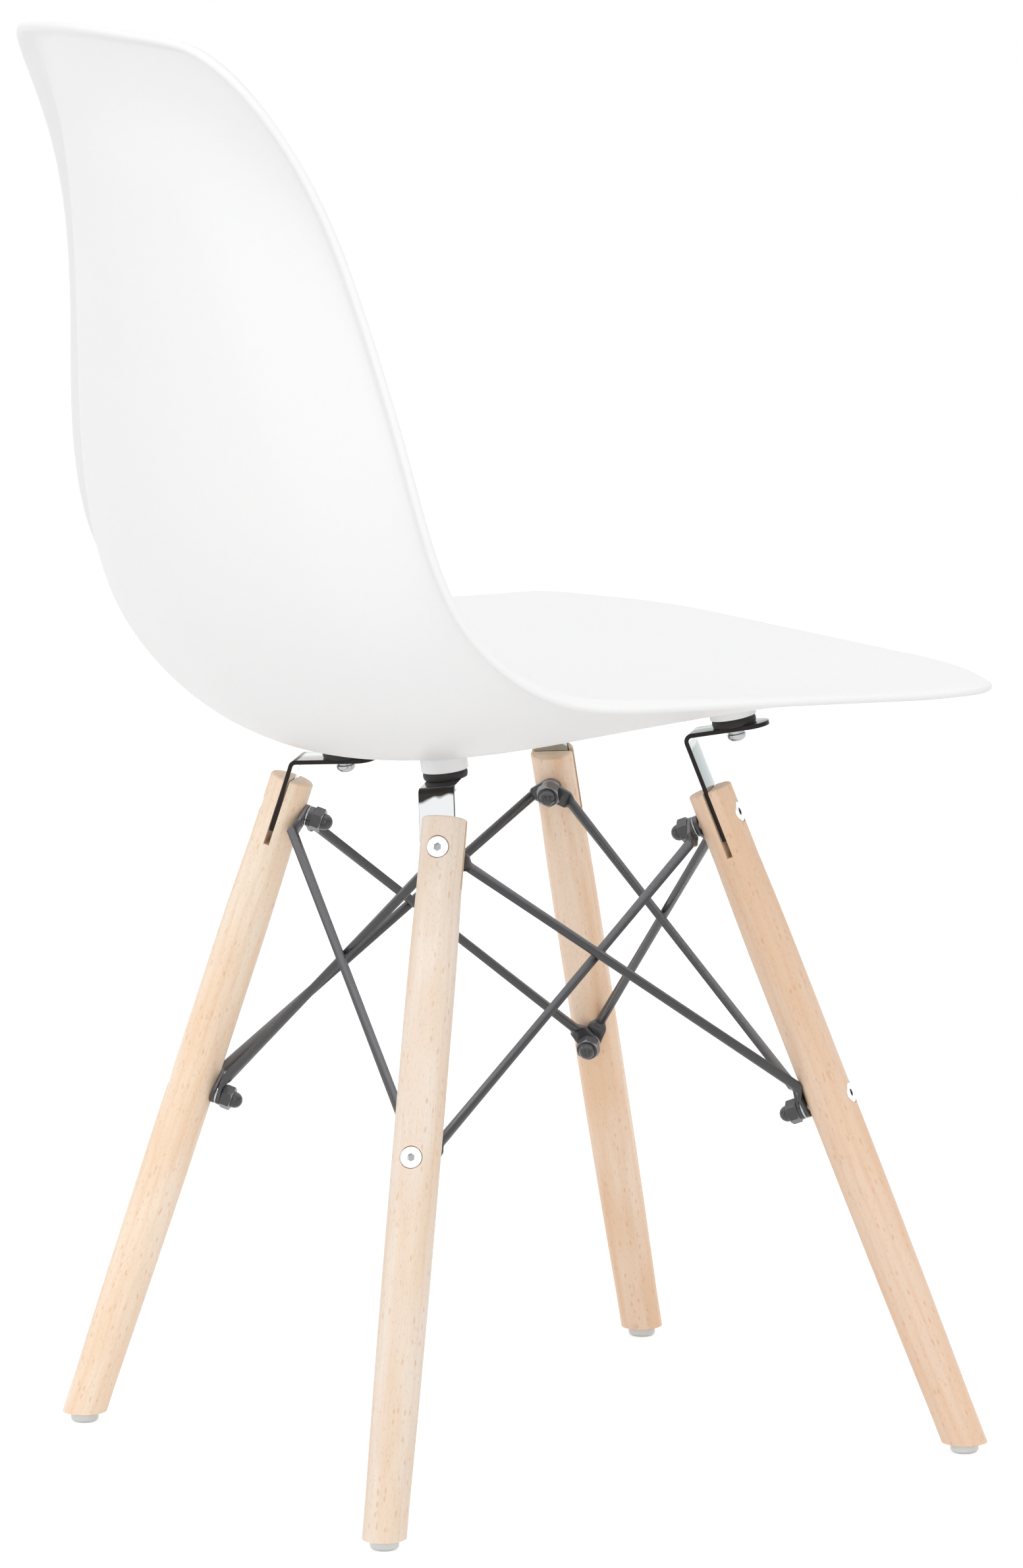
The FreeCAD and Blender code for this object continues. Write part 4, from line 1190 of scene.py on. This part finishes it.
def leg_bolt_outline(radius):
    """Flat round head with a hexagon socket, its face at height 0, and a shank through the leg."""
    socket = hexagon(socket_width)
    end = -(radius - head_sunk) - (radius + paddle_stack + nut_bore_depth - bolt_end_gap)
    return [(0, -socket_depth), (socket, -socket_depth), (socket, -0.2), (2.55, 0), (5.5, 0),
            (5.72, -0.05), (5.92, -0.22), (6.0, -0.5), (6.0, -head_height),
            (bolt_radius, -head_height), (bolt_radius, end + 0.5), (bolt_radius - 0.5, end), (0, end)]


leg_bolts = Piece("leg_bolts_zinc", painted_highlight_zinc, zinc_bolt)
for corner, lower in bolt_places:
    radius = belly_radius if lower else collar_radius
    face = frame_at(corner.inward(lower, -2 * radius + head_sunk), corner.axis, corner.radial)
    leg_bolts.part(turned(leg_bolt_outline(radius)), face,
                   look=lambda number: int(number < socket_faces))
leg_bolts.finish("leg_bolts", sharp_angle=30)

# %% [markdown]
# ## Cap nuts
# A cap nut closes the bolt's end: a hexagon with turned chamfers under a round dome. On a
# real nut a chamfer is a cone cut across the hexagon, which leaves curved edges. The same
# falls out here when the height near the rim depends on the angle. The chamfers' faces get
# a lighter grey, a painted highlight. The nuts are 12.4 mm across flats, as they look, and
# the solid's are 10 mm.

# %% Cap nuts
def cap_nut_outline():
    """Bore, chamfered hexagon, small step and dome."""
    width, hex_height, height, dome, bore, mouth = 12.4, 6.2, 11.8, 4.7, 3.03, 3.3
    corner_radius = hexagon(width)
    flat = width / 2 - 0.15

    def chamfer(angle):
        return max(corner_radius(angle) - flat, 0) * math.tan(math.radians(30))

    cap = [(dome * math.cos(turn), height - dome + dome * math.sin(turn))
           for turn in np.radians(np.linspace(0, 90, 12))]
    cap[-1] = (0, height)
    return [(0, nut_bore_depth), (bore, nut_bore_depth), (bore, 0.3), (mouth, 0), (flat, 0),
            (corner_radius, chamfer), (corner_radius, lambda angle: hex_height - chamfer(angle)),
            (flat, hex_height),
            (dome + 0.12, hex_height), (dome, hex_height + 0.15)] + cap


chamfer_bands = (4, 6)  # counted from the bore, between the outline's rings
# The chamfer bands take the nuts' second material, a painted grey highlight.
cap_nuts = Piece("cap_nuts_black", black_nut, nut_chamfer_highlight)
for corner, lower in bolt_places:
    seat = frame_at(corner.inward(lower, paddle_stack), corner.axis, -corner.radial)
    cap_nuts.part(turned(cap_nut_outline()), seat,
                  look=lambda number: int(number // round_sides in chamfer_bands))
cap_nuts.finish("cap_nuts", sharp_angle=28)

# %% [markdown]
# ## Floor glides
# Under each leg sits a milky nylon glide: a disc with rounded edges and a pin up into the
# wood. It is turned from an outline too, and stands straight on the floor though its leg
# leans.

# %% Glides
glides = Piece("glides_nylon", nylon)
glide_outline = rounded([(0, 0), (6.5, 0, 0.6), (8.0, 1.5, 0.8), (8.0, 6.0, 0.5), (2.0, 6.0),
                         (2.0, 17.0, 0.3), (0.8, 19.0), (0, 19.0)])
for corner in corners.values():
    glides.part(turned(glide_outline), Matrix.Translation((corner.foot.x, corner.foot.y, 0)))
glides.finish("floor_glides")

# %% [markdown]
# ## A rod's pressed end
# Each side of the frame is braced by two steel rods. A rod's ends are pressed flat in a
# die, so the round section turns into a flat one over a short neck, and the flat end is
# bent to lie against the leg. A circle and a rectangle don't blend point by point, but a
# superellipse does: its power grows from 2, a circle, to 7, a rounded rectangle.

# %% Rod sections and ends
rod_radius, paddle_half, neck_half, neck_at, rod_at = 2.9, 6.0, 5.4, 10.5, 15.0


def superellipse(centre, width_way, depth_way, half_width, half_depth, power=7, count=40):
    ring = []
    for k in range(count):
        angle = 2 * math.pi * (k + 0.5) / count
        x = math.copysign(abs(math.cos(angle)) ** (2 / power), math.cos(angle))
        y = math.copysign(abs(math.sin(angle)) ** (2 / power), math.sin(angle))
        ring.append(centre + width_way * (half_width * x) + depth_way * (half_depth * y))
    return ring


class RodEnd:
    """A flattened end on a leg bolt, and where its round rod starts."""

    def __init__(self, corner, lower, outer, target, lift):
        layer = 0.0 if outer else paddle_thick + brace_washer_thick
        self.middle = corner.inward(lower, layer + paddle_thick / 2)
        self.normal = corner.radial
        aim = target - self.middle
        self.along = (aim - self.normal * aim.dot(self.normal)).normalized()
        self.start = self.middle + self.along * rod_at + self.normal * (lift if outer else -lift)

    def rings(self, rod_way):
        """Rings from the rounded tip over the flat end and the neck to the round rod."""
        across, half_thick = self.normal.cross(self.along), paddle_thick / 2
        flat = [(paddle_half * math.sin(turn), paddle_half * math.cos(turn))
                for turn in np.radians(np.linspace(-84, 0, 10))]
        flat += [(reach, paddle_half - (paddle_half - neck_half) * reach / neck_at)
                 for reach in (3.0, 6.0, neck_at)]
        rings = [superellipse(self.middle + self.along * reach, across, self.normal, half, half_thick)
                 for reach, half in flat]
        rod_across = self.normal.cross(rod_way).normalized()
        rod_normal = rod_way.cross(rod_across)
        flat_end = self.middle + self.along * neck_at
        for t in np.linspace(0, 1, 9)[1:]:
            ease = smooth_step(t)
            rings.append(superellipse(
                flat_end.lerp(self.start, t), across.lerp(rod_across, ease).normalized(),
                self.normal.lerp(rod_normal, ease).normalized(),
                neck_half + (rod_radius - neck_half) * ease,
                half_thick + (rod_radius - half_thick) * ease, 2 + 5 * (1 - ease) ** 2))
        return rings


print("rods", 2 * rod_radius, "mm thick, pressed to", paddle_thick, "mm")

# %% [markdown]
# ## Crossed rods
# The two rods of a side are welded where they cross. They must touch there, so each rod
# starts a little off its flat end's plane, one outwards and one inwards. How far is worked
# out from the gap with no such lift and with 1 mm of it, so that the rods sink 0.3 mm into
# each other as a weld does. The holes are drilled last, in line with the leg bolts.

# %% Crossed rods of the four sides
def rod_ends(left, right, lift):
    """The two rods' ends; seen from outside, the outer rod falls from left to right."""
    left_up, left_low = (left.top - left.axis * drop for drop in (upper_drop, lower_drop))
    right_up, right_low = (right.top - right.axis * drop for drop in (upper_drop, lower_drop))
    return [RodEnd(left, False, True, right_low, lift), RodEnd(right, True, True, left_up, lift),
            RodEnd(left, True, False, right_up, lift), RodEnd(right, False, False, left_low, lift)]


def rod_gap(ends):
    """How far apart the two rods' centre lines pass."""
    outer_way, inner_way = ends[1].start - ends[0].start, ends[3].start - ends[2].start
    return abs((ends[2].start - ends[0].start).dot(outer_way.cross(inner_way).normalized()))


def make_brace(name, left, right):
    weld_sink = 0.3
    plain = rod_gap(rod_ends(left, right, 0.0))
    gain = rod_gap(rod_ends(left, right, 1.0)) - plain
    ends = rod_ends(left, right, (2 * rod_radius - weld_sink - plain) / gain)
    brace = Piece("crossed_rods_" + name, black_coat)
    for first, last in (ends[:2], ends[2:]):
        way = (last.start - first.start).normalized()
        mirrored = [[ring[(len(ring) // 2 - 1 - k) % len(ring)] for k in range(len(ring))]
                    for ring in last.rings(-way)[::-1]]
        brace.part(skin(first.rings(way) + mirrored, capped=True))
    body = brace.build()
    tool = Piece("bolt_drill", black_coat)
    for corner in (left, right):
        for lower in (False, True):
            place = frame_at(corner.inward(lower, -1), corner.axis, -corner.radial)
            tool.part(turned([(0, 0), (hole_radius, 0), (hole_radius, 9), (0, 9)], sides=48), place)
    cut_away(body, tool.build())
    stand_for(body, "cross_brace_" + name)


for name, left, right in (("rear", "rear_left", "rear_right"), ("right", "rear_right", "front_right"),
                          ("front", "front_right", "front_left"), ("left", "front_left", "rear_left")):
    make_brace(name, corners[left], corners[right])

# %% [markdown]
# ## Floor and world
# The photograph was taken in a white studio. More light would make the background white,
# but would bleach the shell too. So the floor and the world light the chair at a plain
# level, and look white only to the camera, in reflections and through clear plastic. The
# floor still takes the chair's shadow.

# %% Floor and world
def seen_directly(tree):
    """1 for camera, mirror and see-through rays, 0 for the rays that carry light between surfaces."""
    path = add(tree, "LightPath").outputs
    seen = add(tree, "Math", {0: path["Is Camera Ray"], 1: path["Is Glossy Ray"]}, operation="MAXIMUM")
    return add(tree, "Math", {0: seen, 1: path["Is Transmission Ray"]}, operation="MAXIMUM")


def make_floor():
    mesh = bpy.data.meshes.new("studio_floor")
    reach = 6.0
    mesh.from_pydata([(-reach, -reach, 0), (reach, -reach, 0), (reach, reach, 0), (-reach, reach, 0)],
                     [], [(0, 1, 2, 3)])
    floor = bpy.data.objects.new("studio_floor", mesh)
    bpy.context.collection.objects.link(floor)
    material = bpy.data.materials.new("studio_floor_white")
    material.use_nodes = True
    tree = material.node_tree
    tree.nodes.clear()
    paint = add(tree, "BsdfDiffuse", Color=linear("#EBEBEB"))
    # Seen directly, the floor is partly paint, which takes the shadow, and partly glow.
    glow = add(tree, "Emission", Color=(1, 1, 1, 1), Strength=0.62)
    seen_paint = add(tree, "BsdfDiffuse", Color=(0.62, 0.62, 0.62, 1))
    seen = add(tree, "AddShader", {0: seen_paint, 1: glow})
    surface = add(tree, "MixShader", {0: seen_directly(tree), 1: paint, 2: seen})
    add(tree, "OutputMaterial", {"Surface": surface})
    mesh.materials.append(material)


world_light = 0.90


def make_world():
    world = bpy.data.worlds.new("studio_white")
    bpy.context.scene.world = world
    world.use_nodes = True
    tree = world.node_tree
    tree.nodes.clear()
    seen = add(tree, "Background", Color=(1, 1, 1, 1), Strength=1.0)
    light = add(tree, "Background", Color=linear("#FFFFFF"), Strength=world_light)
    mix = add(tree, "MixShader", {0: seen_directly(tree), 1: light, 2: seen})
    add(tree, "OutputWorld", {"Surface": mix})


make_floor()
make_world()
print("the world's light is", world_light, "of the white that the camera sees")

# %% [markdown]
# ## Three soft lamps
# The world alone would light the white shell flat. A lamp above, one on the camera's side
# and one low behind the chair give the shell its slow shading and the legs their round
# form. They are wide, so their shadows have no hard edge, and weak, so that they don't
# bleach the pale shell.

# %% Lamps
def add_lamp(name, place, aim, width, height, watts):
    data = bpy.data.lights.new(name, "AREA")
    data.shape, data.size, data.size_y, data.energy = "RECTANGLE", width, height, watts
    lamp = bpy.data.objects.new(name, data)
    bpy.context.collection.objects.link(lamp)
    lamp.location = place
    lamp.rotation_euler = (Vector(aim) - Vector(place)).to_track_quat("-Z", "Y").to_euler()
    print(name, watts, "W")


add_lamp("top_lamp", (-1.2, 1.0, 3.2), (0, 0, 0.45), 1.3, 0.7, 15)
add_lamp("side_lamp", (-3.4, 1.6, 1.3), (0, 0, 0.4), 1.3, 1.3, 10)
add_lamp("rear_lamp", (0.3, 3.4, 0.9), (0, 0, 0.3), 0.9, 0.9, 7)

# %% [markdown]
# ## The camera
# The camera stands where the photograph was taken, behind the chair's right side, with a
# long lens. Its place, its view and its focal length were solved from points that show in
# the photograph, such as leg tops, bolt heads and glides. The lens is worked out from the
# focal length in the photograph's pixels.

# %% Camera at the photograph's place
focal_px, photo_width, photo_height = 11774.0, 1553, 2380
camera_place = Vector((-3.6875, 2.2222, 1.0943))
look = Vector((0.84231, -0.51359, -0.16354)).normalized()
up = Vector((0.13454, -0.09348, 0.98649))
right = look.cross(up).normalized()
up = right.cross(look)
camera_data = bpy.data.cameras.new("camera")
film_height = 36.0
camera_data.sensor_fit = "VERTICAL"
camera_data.sensor_height = film_height
camera_data.sensor_width = film_height * photo_width / photo_height
camera_data.lens = focal_px / photo_height * film_height
camera_data.clip_end = 100.0
camera = bpy.data.objects.new("camera", camera_data)
bpy.context.collection.objects.link(camera)
camera.matrix_world = Matrix((
    (right.x, up.x, -look.x, camera_place.x),
    (right.y, up.y, -look.y, camera_place.y),
    (right.z, up.z, -look.z, camera_place.z),
    (0, 0, 0, 1)))
bpy.context.scene.camera = camera
bpy.context.scene.view_settings.view_transform = "Standard"
print("lens", round(camera_data.lens, 1), "mm")
